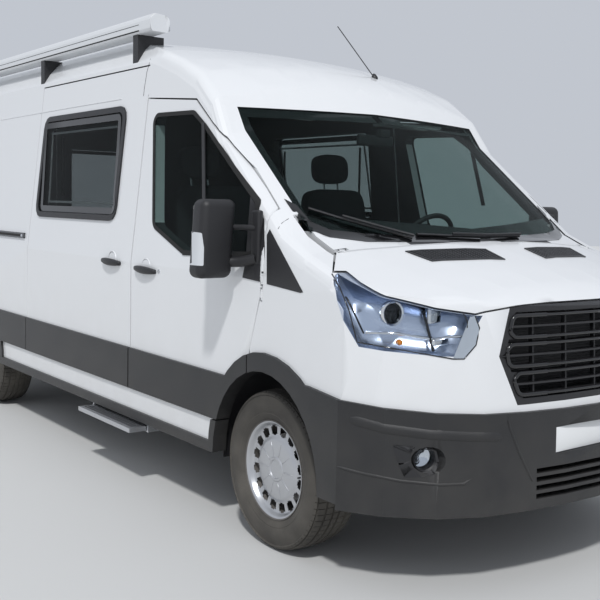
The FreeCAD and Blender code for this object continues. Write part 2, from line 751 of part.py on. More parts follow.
def build_body(nodes):
    outer = round_tail(body_solid(0, sill_z, fine_skin))
    inner = body_solid(wall, sill_z - overrun, plain_skin)
    glass_inner = body_solid(glass_t, sill_z - overrun, fine_skin)
    pillar_outer = body_solid(wall + glass_t, sill_z - overrun, plain_skin)
    shell = outer.cut(inner)
    far = half_width + overrun
    side_near = -half_width + wall * door_reach_share

    arches = []
    for axle_x, front_half in ((front_axle_x, front_flare_half), (rear_axle_x, flare_half)):
        arches.append(ring_y(axle_x, front_half, flare_top, -far, far))
    shell = shell.cut(fuse(arches[:1])).cut(arches[1])

    # Windscreen bonded into its opening
    screen = prism_x(screen_outline(), screen_corner_top_x - wall * 3, bonnet_edge_rear[0] + wall)
    nodes["windscreen"] = outer.cut(glass_inner).common(screen)
    shell = shell.cut(screen)

    # Bonnet: a thin skin over the engine bay
    skin = outer.cut(outer.translated(Vector(0, 0, -bonnet_t)))
    rear_arc_cut = cowl_block(bonnet_rear_gap)
    bonnet = skin.common(bonnet_shape(0)).cut(rear_arc_cut)
    shell = shell.cut(bonnet_shape(panel_gap).cut(cowl_block(0)))

    # Bumper, a little proud of the panels above it
    bumper_body = body_solid(-bumper_out, bumper_foot_z, fine_skin).cut(inner)
    bumper_zone = prism_y([(front_axle_x, sill_z - overrun), (front_axle_x, bumper_top_side_z),
                           (front_axle_x + front_flare_half * bumper_step_share, bumper_top_side_z),
                           (front_x, bumper_top_mid_z), (front_x + overrun, bumper_top_mid_z),
                           (front_x + overrun, sill_z - overrun)], -far, far)
    bumper = bumper_body.common(bumper_zone).cut(arches[0])
    behind_axle = box((front_axle_x - overrun, front_axle_x + running_gap), (-far, far), (0, roof_z))
    shell = shell.cut(bumper_zone.cut(behind_axle))

    # Headlamps and the panel between them
    lamp_right = shell.common(lamp_shape())
    nodes["headlamps"] = Part.makeCompound([lamp_right, mirrored(lamp_right)])
    shell = shell.cut(lamp_shape()).cut(mirrored(lamp_shape()))
    opening = prism_x(grille_outline(), lamp_inner_top[0] - overrun, front_x + overrun)
    nose = box((split_front_x, front_x + overrun), (-far, far), (sill_z, roof_z))
    nodes["front_panel"] = shell.common(nose).cut(opening)
    shell = shell.cut(nose)

    # Roof front cap and roof
    cap_zone = prism_y([cap_seam_low, (cap_seam_high_x, gutter_z), (cap_seam_high_x, roof_z + overrun),
                        (header_x + overrun, roof_z + overrun), (header_x + overrun / 2, header_z),
                        (header_x, header_z), (screen_corner_top_x, screen_corner_top[1]),
                        (pillar_top[0], pillar_top[1] + cap_rail)], -far, far)
    nodes["roof_front"] = shell.common(cap_zone)
    shell = shell.cut(cap_zone)
    roof_zone = box((rear_x - overrun, header_x), (-far, far), (gutter_z, roof_z + overrun))
    nodes["roof"] = shell.common(roof_zone)
    shell = shell.cut(roof_zone)

    # Cowl between windscreen and bonnet, with the bulkhead under it
    cowl_span = (-cowl_half, cowl_half)
    cowl_room = box((front_axle_x, split_front_x), cowl_span, (screen_foot_z - wall * 3, roof_z))
    cowl = shell.common(cowl_room).common(cowl_block(0))
    shell = shell.cut(box((front_axle_x, split_front_x), cowl_span, (sill_z, roof_z)))
    bulkhead = box((cowl_x, cowl_x + bulkhead_t), (-bulkhead_half, bulkhead_half),
                   (floor_z - floor_t, roof_z))
    nodes["cowl"] = fuse([cowl, bulkhead.common(inner)])

    # Rear frame and doors
    rear_zone = box((rear_x - overrun, rear_skin_x + wall), (-far, far), (sill_z - overrun, gutter_z))
    roof_rear = nodes["roof"]
    frame_all = shell.common(rear_zone)
    shell = shell.cut(rear_zone)
    door_hole = rear_door_zone(panel_gap)
    rear_wall = fuse([frame_all, roof_rear.common(rear_zone_above())])
    nodes["roof"] = roof_rear.cut(rear_zone_above())
    rear_frame = rear_wall.cut(door_hole)
    rear_doors = rear_wall.common(rear_door_zone(0))

    # Wings ahead of the front doors
    wing_zone = prism_y([(door_front_low_x, sill_z - overrun), (door_front_low_x, tyre_r + flare_top),
                         (door_front_x, door_front_z), (sail_tip[0], sail_tip[1]),
                         (sail_tip[0], roof_z), (split_front_x + wall, roof_z),
                         (split_front_x + wall, sill_z - overrun)], -far, far)
    wings = shell.common(wing_zone)
    shell = shell.cut(wing_zone)
    half_space = box((rear_x - overrun, front_x + overrun), (-2 * far, 0), (-overrun, roof_z + overrun))
    wing = wings.common(half_space)
    sides = shell
    side_right = sides.common(half_space)
    side_left = sides.cut(half_space)

    # Front doors on both sides, sliding door on the right
    door_layer = side_layer(wall)
    hole_layer = side_layer(wall + panel_gap)
    door_zone = prism_y(door_outline(0), -far, side_near).common(door_layer)
    door_hole = prism_y(door_outline(panel_gap), -far, side_near).common(hole_layer)
    whole_right = fuse([side_right, wing])
    door = whole_right.common(door_zone)
    wing = wing.cut(door_hole)
    side_right = side_right.cut(door_hole)
    side_left = side_left.cut(mirrored(door_hole))
    slide_zone = prism_y(slide_outline(0), -far, side_near).common(door_layer)
    slide_hole = prism_y(slide_outline(panel_gap), -far, side_near).common(hole_layer)
    slide_door = side_right.common(slide_zone)
    side_right = side_right.cut(slide_hole)

    nodes["wing_right"] = wing
    nodes["wing_left"] = mirrored(wing)
    nodes["bumper_front"] = bumper
    nodes["body_right"] = side_right
    nodes["body_left"] = side_left
    nodes["door_front_right"] = door
    nodes["door_sliding"] = slide_door
    nodes["rear_frame"] = rear_frame
    nodes["rear_doors"] = rear_doors
    nodes["bonnet"] = bonnet
    return outer, inner, pillar_outer


def cowl_block(shrink):
    """Everything behind the bonnet's curved rear edge."""
    middle = Vector(bonnet_edge_rear[0] + bonnet_rear_sag + shrink, 0, sill_z)
    left = Vector(bonnet_edge_rear[0] + shrink, bonnet_edge_rear[1], sill_z)
    right = Vector(left.x, -left.y, sill_z)
    arc = Part.Arc(left, middle, right).toShape()
    back = [left, Vector(rear_x, left.y, sill_z), Vector(rear_x, -left.y, sill_z), right]
    return Part.Face(Part.Wire(Part.makePolygon(back).Edges + [arc])).extrude(Vector(0, 0, roof_z))


def grille_outline():
    middle_z = (grille_top_z + grille_foot_z) / 2
    right = [(grille_half_top, grille_top_z), (grille_half_mid, middle_z), (grille_half_foot, grille_foot_z)]
    return right + [(-y, z) for y, z in reversed(right)]


def rear_door_zone(grow):
    half = rear_door_half + grow
    return box((rear_x - overrun, rear_skin_x + wall), (-half, half),
               (rear_door_foot_z - grow, rear_door_top_z + grow))


def rear_zone_above():
    return box((rear_x - overrun, rear_skin_x + wall), (-half_width, half_width), (gutter_z - wall, roof_z))


# Doors and what rides on them, right side

def rounded_prism_x(outline, radii, x_start, x_end):
    shape = Part.Face(round_outline(outline, radii, corner_steps))
    shape.rotate(Vector(0, 0, 0), Vector(0, 0, 1), 90)
    shape.translate(Vector(x_start, 0, 0))
    return shape.extrude(Vector(x_end - x_start, 0, 0))


def build_mirror():
    low, high = mirror_z
    housing = box(mirror_x, (-mirror_y[1], -mirror_y[0]), mirror_z)
    housing = housing.makeChamfer(mirror_round * mirror_chamfer_share, housing.Edges)
    recess = box((mirror_x[0] - mirror_rim, mirror_x[0] + mirror_glass_t * 2),
                 (-mirror_y[1] + mirror_rim, -mirror_y[0] - mirror_rim), (low + mirror_rim, high - mirror_rim))
    base = lean_slab(mirror_base_out, 0, mirror_base_x, mirror_base_z)
    arms = []
    for level in mirror_arm_levels:
        start = Vector(mirror_x[1] - mirror_round, -mirror_y[0] - mirror_round, level)
        end = Vector((mirror_base_x[0] + mirror_base_x[1]) / 2, -side_y(level) - mirror_base_out / 2, level)
        arms.append(bar(start, end, mirror_arm_r))
    skin = lean_slab(0, wall, (mirror_x[0], door_front_x + wall), (belt_z, mirror_z[1]))
    return fuse([housing.cut(recess), base] + arms).cut(skin)


def build_handle(x_mid):
    skin = half_width
    outer_y = skin + handle_out
    half = handle_len / 2
    slope = handle_t / 2
    outline = [(x_mid - half, -skin), (x_mid - half + slope, -outer_y), (x_mid + half - slope, -outer_y),
               (x_mid + half, -skin), (x_mid + half - handle_post, -skin),
               (x_mid + half - handle_post - slope, handle_t - outer_y),
               (x_mid - half + handle_post + slope, handle_t - outer_y), (x_mid - half + handle_post, -skin)]
    return prism_z(outline, handle_z - handle_h / 2, handle_z + handle_h / 2)


def camper_window():
    """Frame and acrylic pane of a side window; returns the hole, the frame and the pane."""
    x_pair = (camper_glass[0][0] - overrun, camper_glass[1][0] + overrun)
    z_pair = (belt_z + glass_t, gutter_z)
    far = half_width + overrun
    radii = [camper_round] * 4
    big = [camper_round + camper_frame] * 4
    near = -half_width + wall * door_reach_share
    hole = rounded_prism_y(grown(camper_glass, camper_frame), big, -far, near)
    light = rounded_prism_y(camper_glass, radii, -far, near)
    frame = lean_slab(camper_frame_out, wall, x_pair, z_pair).common(hole).cut(light)
    pane = lean_slab(camper_pane_out, camper_pane_t - camper_pane_out, x_pair, z_pair).common(light)
    return hole, frame, pane


def add_doors(nodes, far):
    near = -half_width + wall * door_reach_share
    door = nodes["door_front_right"]
    light = rounded_prism_y(door_glass, door_glass_round, -far, near)
    slab = lean_slab(0, glass_t, (seam_x, door_front_x), (belt_z, gutter_z))
    nodes["door_glass_right"] = slab.common(light)
    door = door.cut(light)
    carriers = ("wing", "body")
    for carrier, level in zip(carriers, door_hinge_levels):
        centre = Vector(door_hinge_x, door_hinge_in - half_width, level)
        bits = hinge_bits(centre, Vector(0, 0, 1), Vector(1, 0, 0), Vector(-1, 0, 0), door_hinge_scale)
        fixed, left = carrier + "_right", carrier + "_left"
        nodes[fixed], door = seat_hinge(nodes[fixed], door, bits)
        nodes[left] = fuse([nodes[left].cut(mirrored(bits[0])), mirrored(bits[2])])
    nodes["door_front_right"] = door
    nodes["mirror_right"] = build_mirror()


def add_sliding_door(nodes):
    hole, frame, pane = camper_window()
    nodes["door_sliding"] = nodes["door_sliding"].cut(hole)
    nodes["body_left"] = nodes["body_left"].cut(mirrored(hole))
    nodes["window_frames"] = Part.makeCompound([frame, mirrored(frame)])
    nodes["camper_windows"] = Part.makeCompound([pane, mirrored(pane)])


def side_trim(nodes, far):
    """Dark mouldings, arch flares, sill skirt, handles and slide rail; what rides on the door is apart."""
    skin = -half_width
    out = skin - cladding_out
    arches = []
    openings = []
    for axle_x, front_half in ((front_axle_x, front_flare_half), (rear_axle_x, flare_half)):
        ring = ring_y(axle_x, front_half, flare_top, out, skin + wall)
        opening = ellipse_prism(axle_x, arch_half, arch_top, -far, far)
        arches.append(ring.cut(opening))
        openings.append(ring_y(axle_x, front_half, flare_top, -far, far))
    low = box((rear_x, front_x), (-far, far), (-overrun, sill_z))
    flares = fuse(arches).cut(low)
    strip = box((rear_skin_x + rear_corner, front_axle_x), (out, skin), (moulding_foot_z, moulding_top_z))
    skirt = box((rear_axle_x, front_axle_x), (out, skin), (sill_z, skirt_top_z))
    for opening in openings:
        strip = strip.cut(opening)
        skirt = skirt.cut(opening)
    door_zone = prism_y(door_outline(0), -far, skin + wall * 3)
    door_hole = prism_y(door_outline(panel_gap), -far, skin + wall * 3)
    slide_zone = prism_y(slide_outline(0), -far, skin + wall * 3)
    slide_hole = prism_y(slide_outline(panel_gap), -far, skin + wall * 3)
    bands = fuse([strip, skirt, flares]).cut(door_hole)
    rail = lean_slab(slide_rail_out, 0, slide_rail_x, slide_rail_z)
    guide = box((slide_rear_x, seam_x - panel_gap), (skin + wall / 3, skin + wall),
                (door_foot_z - panel_gap, door_foot_z))
    right = [bands.cut(slide_hole), strip.common(slide_zone), rail, guide, build_handle(handle_slide_x)]
    nodes["side_trim"] = Part.makeCompound(right + [mirrored(bands)])
    on_door = [strip.common(door_zone), flares.common(door_zone)]
    nodes["door_trim_right"] = Part.makeCompound([fuse(on_door), build_handle(handle_front_x)])


def add_rear_doors(nodes):
    doors = nodes.pop("rear_doors")
    frame = nodes["rear_frame"]
    half = box((rear_x - overrun, rear_skin_x + overrun), (-half_width, -panel_gap / 2), (0, roof_z))
    right = doors.common(half)
    light = rounded_prism_x([(-y, z) for y, z in rear_glass], [wall / 2] * 4, rear_x, rear_skin_x + wall)
    pane = box((rear_skin_x, rear_skin_x + rear_glass_t), (-half_width, 0), (0, roof_z))
    nodes["rear_glass_right"] = right.common(light).common(pane)
    right = right.cut(light)
    diagonal = Vector(1, -1, 0)
    inward = Vector(1, 1, 0)
    for level in rear_hinge_levels:
        centre = Vector(rear_skin_x - rear_hinge_out, -rear_door_half - panel_gap / 2, level)
        bits = hinge_bits(centre, Vector(0, 0, 1), diagonal, inward)
        frame, right = seat_hinge(frame, right, bits)
    half_right = box((rear_x - overrun, rear_skin_x + overrun), (-half_width - overrun, 0), (0, roof_z))
    one = frame.common(half_right)
    nodes["rear_frame"] = fuse([one, mirrored(one)])
    nodes["door_rear_right"] = right


def add_bonnet(nodes):
    for side in (-1, 1):
        centre = Vector(bonnet_hinge_x, side * bonnet_hinge_y, bonnet_hinge_z)
        half = hinge_barrel_len / 2 + running_gap
        room = box((centre.x, centre.x + wall), (centre.y - half, centre.y + half),
                   (centre.z - hinge_pocket_r, centre.z + wall))
        nodes["cowl"] = nodes["cowl"].cut(room)
        bits = hinge_bits(centre, Vector(0, 1, 0), Vector(-1, 0, 0), Vector(1, 0, -bonnet_fall_share))
        nodes["cowl"], nodes["bonnet"] = seat_hinge(nodes["cowl"], nodes["bonnet"], bits)


# Front details

def add_front(nodes, outer):
    bumper = nodes["bumper_front"]
    far = front_x + overrun
    plate_pocket = box((plate_x, far), (-plate_half, plate_half), plate_z)
    bumper = bumper.cut(plate_pocket)
    nodes["plate_front"] = box((plate_x, plate_x + plate_t), (-plate_half, plate_half), plate_z)
    lamps = []
    for side in (-1, 1):
        back = Vector(corner_x - overrun / 2, side * fog_y, fog_z)
        hole = bar(back, Vector(front_x, side * fog_y, fog_z), fog_r, grip_sides)
        lamps.append(bumper.common(hole).common(outer))
        bumper = bumper.cut(hole)
    nodes["fog_lamps"] = Part.makeCompound(lamps)
    pitch = (intake_z[1] - intake_z[0] + intake_bar_h) / (intake_bars + 1)
    for i in range(intake_bars + 1):
        low = intake_z[0] + i * pitch
        slot = prism_x([(-intake_half, low), (-intake_half, low + pitch - intake_bar_h),
                        (intake_half, low + pitch - intake_bar_h), (intake_half, low)], corner_x, far)
        bumper = bumper.cut(slot)
    nodes["bumper_front"] = bumper
    nodes["grille"] = build_grille(outer, far).cut(bonnet_shape(panel_gap))


def build_grille(outer, far):
    """Frame, three long closed loops each round its own slat, and upright ribs set back behind them."""
    back = outer.translated(Vector(-grille_depth, 0, 0))
    front_skin = outer.cut(back)
    rib_skin = outer.translated(Vector(-grille_setback, 0, 0)).cut(back)
    start = lamp_inner_top[0] - wall
    hole = prism_x(grille_outline(), start, far)
    inside = prism_x(shrunk(grille_outline(), grille_rim), start - wall, far)
    pieces = [hole.cut(inside)]
    pitch = (grille_top_z - grille_foot_z - 2 * grille_rim) / grille_loops
    for i in range(grille_loops):
        low = grille_foot_z + grille_rim + i * pitch + grille_gap / 2
        high = low + pitch - grille_gap
        middle = (low + high) / 2
        half_slat = grille_slat_h / 2
        around = loop_prism(low, high, grille_rim - grille_bar_t, start, far)
        within = loop_prism(low + grille_bar_t, high - grille_bar_t, grille_rim + grille_bar_t,
                            start - wall, far)
        pieces.append(around.cut(within))
        pieces.append(loop_prism(middle - half_slat, middle + half_slat, grille_rim, start, far))
    bars = front_skin.common(fuse(pieces))
    ribs = []
    for i in range(1, grille_ribs + 1):
        y = grille_half_mid * (2 * i / (grille_ribs + 1) - 1)
        across = (y - grille_slat_h / 2, y + grille_slat_h / 2)
        ribs.append(box((start, far), across, (grille_foot_z, grille_top_z)))
    return fuse([bars, rib_skin.common(fuse(ribs)).common(hole)])


def grille_half(z):
    """Half width of the grille's opening at a height."""
    middle_z = (grille_top_z + grille_foot_z) / 2
    end_half = grille_half_top if z > middle_z else grille_half_foot
    share = abs(z - middle_z) / (grille_top_z - middle_z)
    return grille_half_mid + (end_half - grille_half_mid) * share


def loop_prism(low, high, inset, start, far):
    low_half = grille_half(low) - inset
    high_half = grille_half(high) - inset
    return prism_x([(-low_half, low), (-high_half, high), (high_half, high), (low_half, low)], start, far)


def shrunk(outline, inset):
    middle_z = (grille_top_z + grille_foot_z) / 2
    return [(y - math.copysign(inset, y), z if z == middle_z else z - math.copysign(inset, z - middle_z))
            for y, z in outline]


# Running gear

def build_tyre():
    half = tyre_w / 2
    seat = rim_r - rim_seat_drop
    right = [(half * across, seat + (tyre_r - seat) * up) for across, up in tyre_shares]
    left = [(-y, r) for y, r in reversed(right)]
    return flat_ring(right + [(0, tyre_r)] + left, wheel_sides)


def build_rim():
    """Steel wheel with a slotted trim; the outer face looks along -Y."""
    seat = rim_r - rim_seat_drop
    bead = tyre_w * bead_share
    outside = [(-rim_edge, rim_r), (-bead, seat), (bead, seat), (rim_edge, rim_r)]
    ring = flat_ring(outside + [(y, r - rim_wall) for y, r in reversed(outside)], wheel_sides)
    front, back = -disc_y[1], -disc_y[0]
    rim_inside = seat - rim_wall / 2
    disc = flat_ring([(front, hub_r * dish_shares[0]), (front, slot_r[0] * dish_shares[1]),
                      (front + dish_depth, slot_r[0] * dish_shares[2]), (front - dish_lip, rim_inside),
                      (back, rim_inside), (back, hub_r * dish_shares[0])], slot_count)
    slots = []
    for i in range(slot_count):
        slot = prism_y([(slot_r[0], -slot_foot / 2), (slot_r[1], -slot_w / 2), (slot_r[1], slot_w / 2),
                        (slot_r[0], slot_foot / 2)], -rim_edge, 0)
        slot.rotate(Vector(0, 0, 0), Vector(0, 1, 0), i * 360 / slot_count)
        slots.append(slot)
    disc = disc.cut(Part.makeCompound(slots))
    hub_face = hub_half - hub_relief
    boss = bar(Vector(0, front + hub_cap_inset, 0), Vector(0, hub_face, 0), boss_r, slot_count)
    brake = bar(Vector(0, hub_face - brake_t, 0), Vector(0, hub_face, 0), brake_r, slot_count)
    bore_end = front + hub_cap_inset + hub_cap_t
    bore = rod(Vector(0, bore_end, 0), Vector(0, hub_half, 0), stub_r + pin_clearance)
    return fuse([ring, disc, boss, brake]).cut(bore)


def at(shape, x, y, z):
    return shape.translated(Vector(x, y, z))


def add_wheels(nodes):
    tyre = build_tyre()
    rim = build_rim()
    for axle_x, track, end in ((front_axle_x, track_front, "front"), (rear_axle_x, track_rear, "rear")):
        right_tyre = at(tyre, axle_x, -track / 2, tyre_r)
        right_rim = at(rim, axle_x, -track / 2, tyre_r)
        nodes["tyre_" + end + "_right"] = right_tyre
        nodes["tyre_" + end + "_left"] = mirrored(right_tyre)
        nodes["rim_" + end + "_right"] = right_rim
        nodes["rim_" + end + "_left"] = mirrored(right_rim)


def kingpin_axis():
    return Vector(0, kingpin_low[0] - kingpin_top[0], kingpin_top[1] - kingpin_low[1]).normalize()


def stub_and_carrier(x, track, inboard_y):
    """Hub carrier with the stub that the wheel turns on."""
    wheel_y = -track / 2
    face_y = wheel_y + hub_half - hub_relief + steer_gap
    tip_y = wheel_y - disc_y[1] + hub_cap_inset + hub_cap_t + hub_relief
    carrier = bar(Vector(x, face_y, tyre_r), Vector(x, inboard_y, tyre_r), hub_r)
    stub = rod(Vector(x, face_y, tyre_r), Vector(x, tip_y, tyre_r), stub_r)
    return fuse([carrier, stub])


def add_front_axle(nodes):
    x = front_axle_x
    axis = kingpin_axis()
    low = Vector(x, -kingpin_low[0], kingpin_low[1])
    top = Vector(x, -kingpin_top[0], kingpin_top[1])
    carrier = stub_and_carrier(x, track_front, -kingpin_top[0] - strut_r / 2)
    strut_foot = low + axis * (tyre_r - kingpin_low[1] - strut_r) + Vector(0, strut_r * 2, 0)
    strut = bar(strut_foot, top - axis * lug_half, strut_r)
    spring = bar(top - axis * lug_half * 3, top, spring_r)
    lug = bar(low - axis * lug_half, low + axis * lug_half, lug_r)
    arm = bar(low + axis * (lug_half / 2), Vector(x, -kingpin_low[0] + lug_r, tyre_r), carrier_arm_r)
    top_pin = rod(top, top + axis * lug_half * 2, joint_r)
    bore = rod(low - axis * wall, low + axis * lug_half, joint_r + pin_clearance)
    knuckle = fuse([carrier, strut, spring, lug, arm, top_pin]).cut(bore)
    nodes["knuckle_right"] = knuckle
    nodes["knuckle_left"] = mirrored(knuckle)
    low_pin = rod(low - axis * lug_half * 2, low + axis * (lug_half - pin_short), joint_r)
    inner_y = rail_y
    waist_y = -kingpin_low[0] + arm_waist
    tip_y = -kingpin_low[0] - joint_r
    arm_plan = [(x - wall, -inner_y), (x + arm_front_reach, -inner_y), (x + lug_r, waist_y),
                (x + lug_r, tip_y), (x - lug_r, tip_y), (x - lug_r, waist_y)]
    lower_arm = prism_z(arm_plan, arm_foot_z, arm_top_z)
    lower_arm = lower_arm.cut(rod(low - axis * (lug_half + steer_gap), low + axis * wall, lug_r + glass_t))
    far = inner_y + rail_w / 2
    beam = box((x - wall, x + wall), (-far, far), (arm_foot_z, subframe_z + subframe_t))
    post = box((x - wall, x + wall), (-far, -far + rail_w), (subframe_z, rail_foot_z))
    right = fuse([lower_arm, low_pin])
    nodes["front_subframe"] = fuse([right, mirrored(right), beam, post, mirrored(post)])


def wheelhouse(x, inner_y, foot_z):
    outer_y = half_width - wall
    half = arch_half + house_margin
    top = arch_top + house_margin
    solid = ellipse_prism(x, half + house_t, top + house_t, -outer_y, -inner_y + house_t, house_sides)
    hollow = ellipse_prism(x, half, top, -outer_y, -inner_y, house_sides)
    low = box((x - 2 * half, x + 2 * half), (-half_width, half_width), (-overrun, foot_z))
    return solid.cut(hollow).cut(low), solid.cut(low)


def add_wheelhouses(nodes):
    front, front_solid = wheelhouse(front_axle_x, house_in_front, house_foot_front)
    rear, rear_solid = wheelhouse(rear_axle_x, house_in_rear, house_foot_rear)
    axis = kingpin_axis()
    top = Vector(front_axle_x, -kingpin_top[0], kingpin_top[1])
    boss_len = tyre_r + arch_top + house_margin - kingpin_top[1] + house_t
    boss = bar(top + axis * steer_gap, top + axis * boss_len, tower_r)
    bore = rod(top, top + axis * (lug_half * 2 + hub_relief), joint_r + pin_clearance)
    front = fuse([front, boss.cut(bore)])
    nodes["wheelhouses"] = Part.makeCompound([front, mirrored(front), rear, mirrored(rear)])
    return [front_solid, mirrored(front_solid), rear_solid, mirrored(rear_solid)]


def add_floor(nodes, houses, inner):
    under = floor_z - floor_t
    back_x = rear_skin_x + wall
    deck = box((back_x, cowl_x), (-half_width + wall, half_width - wall), (under, floor_z)).common(inner)
    for house in houses:
        deck = deck.cut(house)
    cover = box((bed_x[1], cover_front_x), (-cover_half, kitchen_y[0] - panel_gap),
                (floor_z, floor_z + cover_t))
    pieces = [deck, cover]
    front_rail_z = (rail_foot_z, rail_foot_z + rail_front_h)
    for side in (-1, 1):
        mid = side * rail_y
        span = (mid - rail_w / 2, mid + rail_w / 2)
        pieces.append(box((back_x, cab_floor_x), span, (under - rear_rail_h, under)))
        pieces.append(box((cab_floor_x, rail_front_x), span, front_rail_z))
    for share in member_xs_share:
        x = back_x + (cab_floor_x - back_x) * share
        pieces.append(box((x, x + member_w), (-rail_y, rail_y), (under - member_w, under)))
    across = rail_y + rail_w / 2
    pieces.append(box((cab_floor_x - rail_w, cab_floor_x + rail_w), (-across, across), (rail_foot_z, under)))
    pieces.append(box((rail_front_x, rail_front_x + crash_beam_t), (-across, across), front_rail_z))
    nodes["floor"] = fuse(pieces)


def add_rear_axle(nodes):
    x = rear_axle_x
    carrier = stub_and_carrier(x, track_rear, -track_rear / 2 + hub_half + wall)
    beam = bar(Vector(x, -track_rear / 2 + hub_half + wall / 2, tyre_r), Vector(x, 0, tyre_r), beam_r)
    seat = box((x - seat_half_x, x + seat_half_x), (-rail_y - leaf_w / 2, -rail_y + leaf_w / 2),
               (tyre_r, tyre_r + beam_r + leaf_t / 2))
    right = fuse([carrier, beam, seat])
    low = tyre_r + beam_r
    eye = low + leaf_rise
    under = flat_arc(Vector(x - leaf_half_run, 0, eye), Vector(x, 0, low), Vector(x + leaf_half_run, 0, eye),
                     leaf_steps)
    outline = [(p.x, p.z) for p in under] + [(p.x, p.z + leaf_t) for p in reversed(under)]
    leaf = prism_y(outline, -rail_y - leaf_w / 2, -rail_y + leaf_w / 2)
    hangers = []
    for edge in (x - leaf_half_run, x + leaf_half_run - leaf_w):
        hangers.append(box((edge, edge + leaf_w), (-rail_y - leaf_w / 2, -rail_y + leaf_w / 2),
                           (eye, floor_z - floor_t - rear_rail_h)))
    spring = fuse([leaf] + hangers)
    nodes["rear_axle"] = fuse([right, mirrored(right), spring, mirrored(spring)])


def add_underside(nodes):
    block = box(engine_x, (-engine_half, engine_half), engine_z)
    ears = box(engine_ear_x, (-rail_y - rail_w / 4, rail_y + rail_w / 4),
               (rail_foot_z + rail_front_h, rail_foot_z + rail_front_h + engine_ear_h))
    nodes["engine"] = fuse([block, ears])
    front = Vector(engine_x[0] - running_gap, -pipe_y, pipe_z)
    bend = Vector(pipe_bend_x, -pipe_y, pipe_z)
    line = bar(front, bend - Vector(pipe_r, 0, 0), pipe_r)
    out = bar(bend, Vector(pipe_bend_x, -pipe_end_y, pipe_z), pipe_r)
    can = bar(Vector(silencer_x[0], -pipe_y, pipe_z), Vector(silencer_x[1], -pipe_y, pipe_z), silencer_r)
    pieces = [line, out, can]
    run = cab_floor_x - rear_skin_x - wall
    for share in hanger_shares:
        x = rear_skin_x + wall + run * share
        pieces.append(box((x, x + member_w), (-pipe_y - pipe_r / 2, -pipe_y + pipe_r / 2),
                          (pipe_z, floor_z - floor_t - member_w)))
    nodes["exhaust"] = fuse(pieces)


# Cab and living space

def seat_pieces(y_start, y_end, rests):
    """Seat from its outlines behind and above the foot of its back, with a headrest at each middle."""
    parts = []
    for outline, radii in ((cushion_outline, cushion_radii), (back_outline, back_radii)):
        side = [(seat_back_x + x, floor_z + z) for x, z in outline]
        parts.append(rounded_prism_y(side, radii, y_start, y_end, seat_steps))
    parts.append(box((seat_back_x + seat_box_x[0], seat_back_x + seat_box_x[1]),
                     (y_start + seat_box_in, y_end - seat_box_in), (floor_z, floor_z + seat_box_h)))
    for mid in rests:
        side = [(seat_back_x + x, floor_z + z) for x, z in rest_outline]
        parts.append(rounded_prism_y(side, rest_radii, mid - rest_half, mid + rest_half, seat_steps))
        for y in (mid - rest_half / 2, mid + rest_half / 2):
            foot = Vector(seat_back_x + rest_post[0][0], y, floor_z + rest_post[0][1])
            head = Vector(seat_back_x + rest_post[1][0], y, floor_z + rest_post[1][1])
            parts.append(bar(foot, head, rest_post_r, tube_sides))
    return fuse(parts)


def add_cab(nodes, trim_limit):
    driver = seat_pieces(seat_y - seat_half, seat_y + seat_half, [seat_y])
    low, high = double_seat_y
    quarter = (high - low) / 4
    pair = seat_pieces(low, high, [low + quarter, high - quarter])
    nodes["seats"] = Part.makeCompound([driver, pair])
    dash = rounded_prism_y(dash_outline, dash_radii, -dash_half, dash_half)
    dash = dash.common(trim_limit)
    centre = Vector(*wheel_centre)
    rise = math.radians(wheel_rise_deg)
    axis = Vector(-math.cos(rise), 0, math.sin(rise))
    ahead = centre - axis * column_len
    shaft = rod(ahead, centre + axis * (wheel_grip_r / 2), column_r)
    cover = bar(ahead, centre - axis * (wheel_grip_r * 2 + hub_relief), column_cover_r)
    nodes["dashboard"] = fuse([dash, shaft, cover])
    tube = []
    for i in range(tube_sides):
        angle = 2 * math.pi * i / tube_sides
        tube.append((wheel_grip_r * math.cos(angle), wheel_ring_r + wheel_grip_r * math.sin(angle)))
    ring = flat_ring(tube, grip_sides)
    ring.Placement = FreeCAD.Placement(centre, Rotation(Vector(0, 1, 0), axis))
    hub = bar(centre - axis * (wheel_grip_r * 2), centre + axis * wheel_grip_r, wheel_hub_r)
    bore = rod(ahead, centre + axis * (wheel_grip_r / 2 + hub_relief), column_r + pin_clearance)
    spokes = []
    for across in (Vector(0, 1, 0), Vector(0, -1, 0), Vector(-axis.z, 0, axis.x)):
        spokes.append(bar(centre, centre + across * wheel_ring_r, wheel_spoke_r, tube_sides))
    nodes["steering_wheel"] = fuse([ring, hub] + spokes).cut(bore)


def add_living(nodes, trim_limit):
    unit = box(kitchen_x, kitchen_y, (floor_z, kitchen_top_z)).common(trim_limit)
    deck = box(bed_x, (-bed_half, bed_half), bed_z)
    front = box((bed_x[1] - floor_t, bed_x[1]), (-bed_half, bed_half), (floor_z, bed_z[0]))
    nodes["furniture"] = Part.makeCompound([unit, fuse([deck, front])])


# Camper fittings outside

def add_awning(nodes, outer):
    low, high = awning_z
    outline = [(-awning_y[1], low), (-awning_y[1], high), (-awning_y[0], high - awning_round / 3),
               (-awning_y[0], low)]
    radii = [awning_round / 2, awning_round, awning_round, awning_round / 2]
    nodes["awning"] = rounded_prism_x(outline, radii, *awning_x)
    brackets = []
    for x in bracket_xs:
        arm = box((x, x + bracket_w), (-bracket_y[1], -bracket_y[0]), (gutter_z, awning_z[0]))
        brackets.append(arm.cut(outer))
    nodes["awning_brackets"] = Part.makeCompound(brackets)


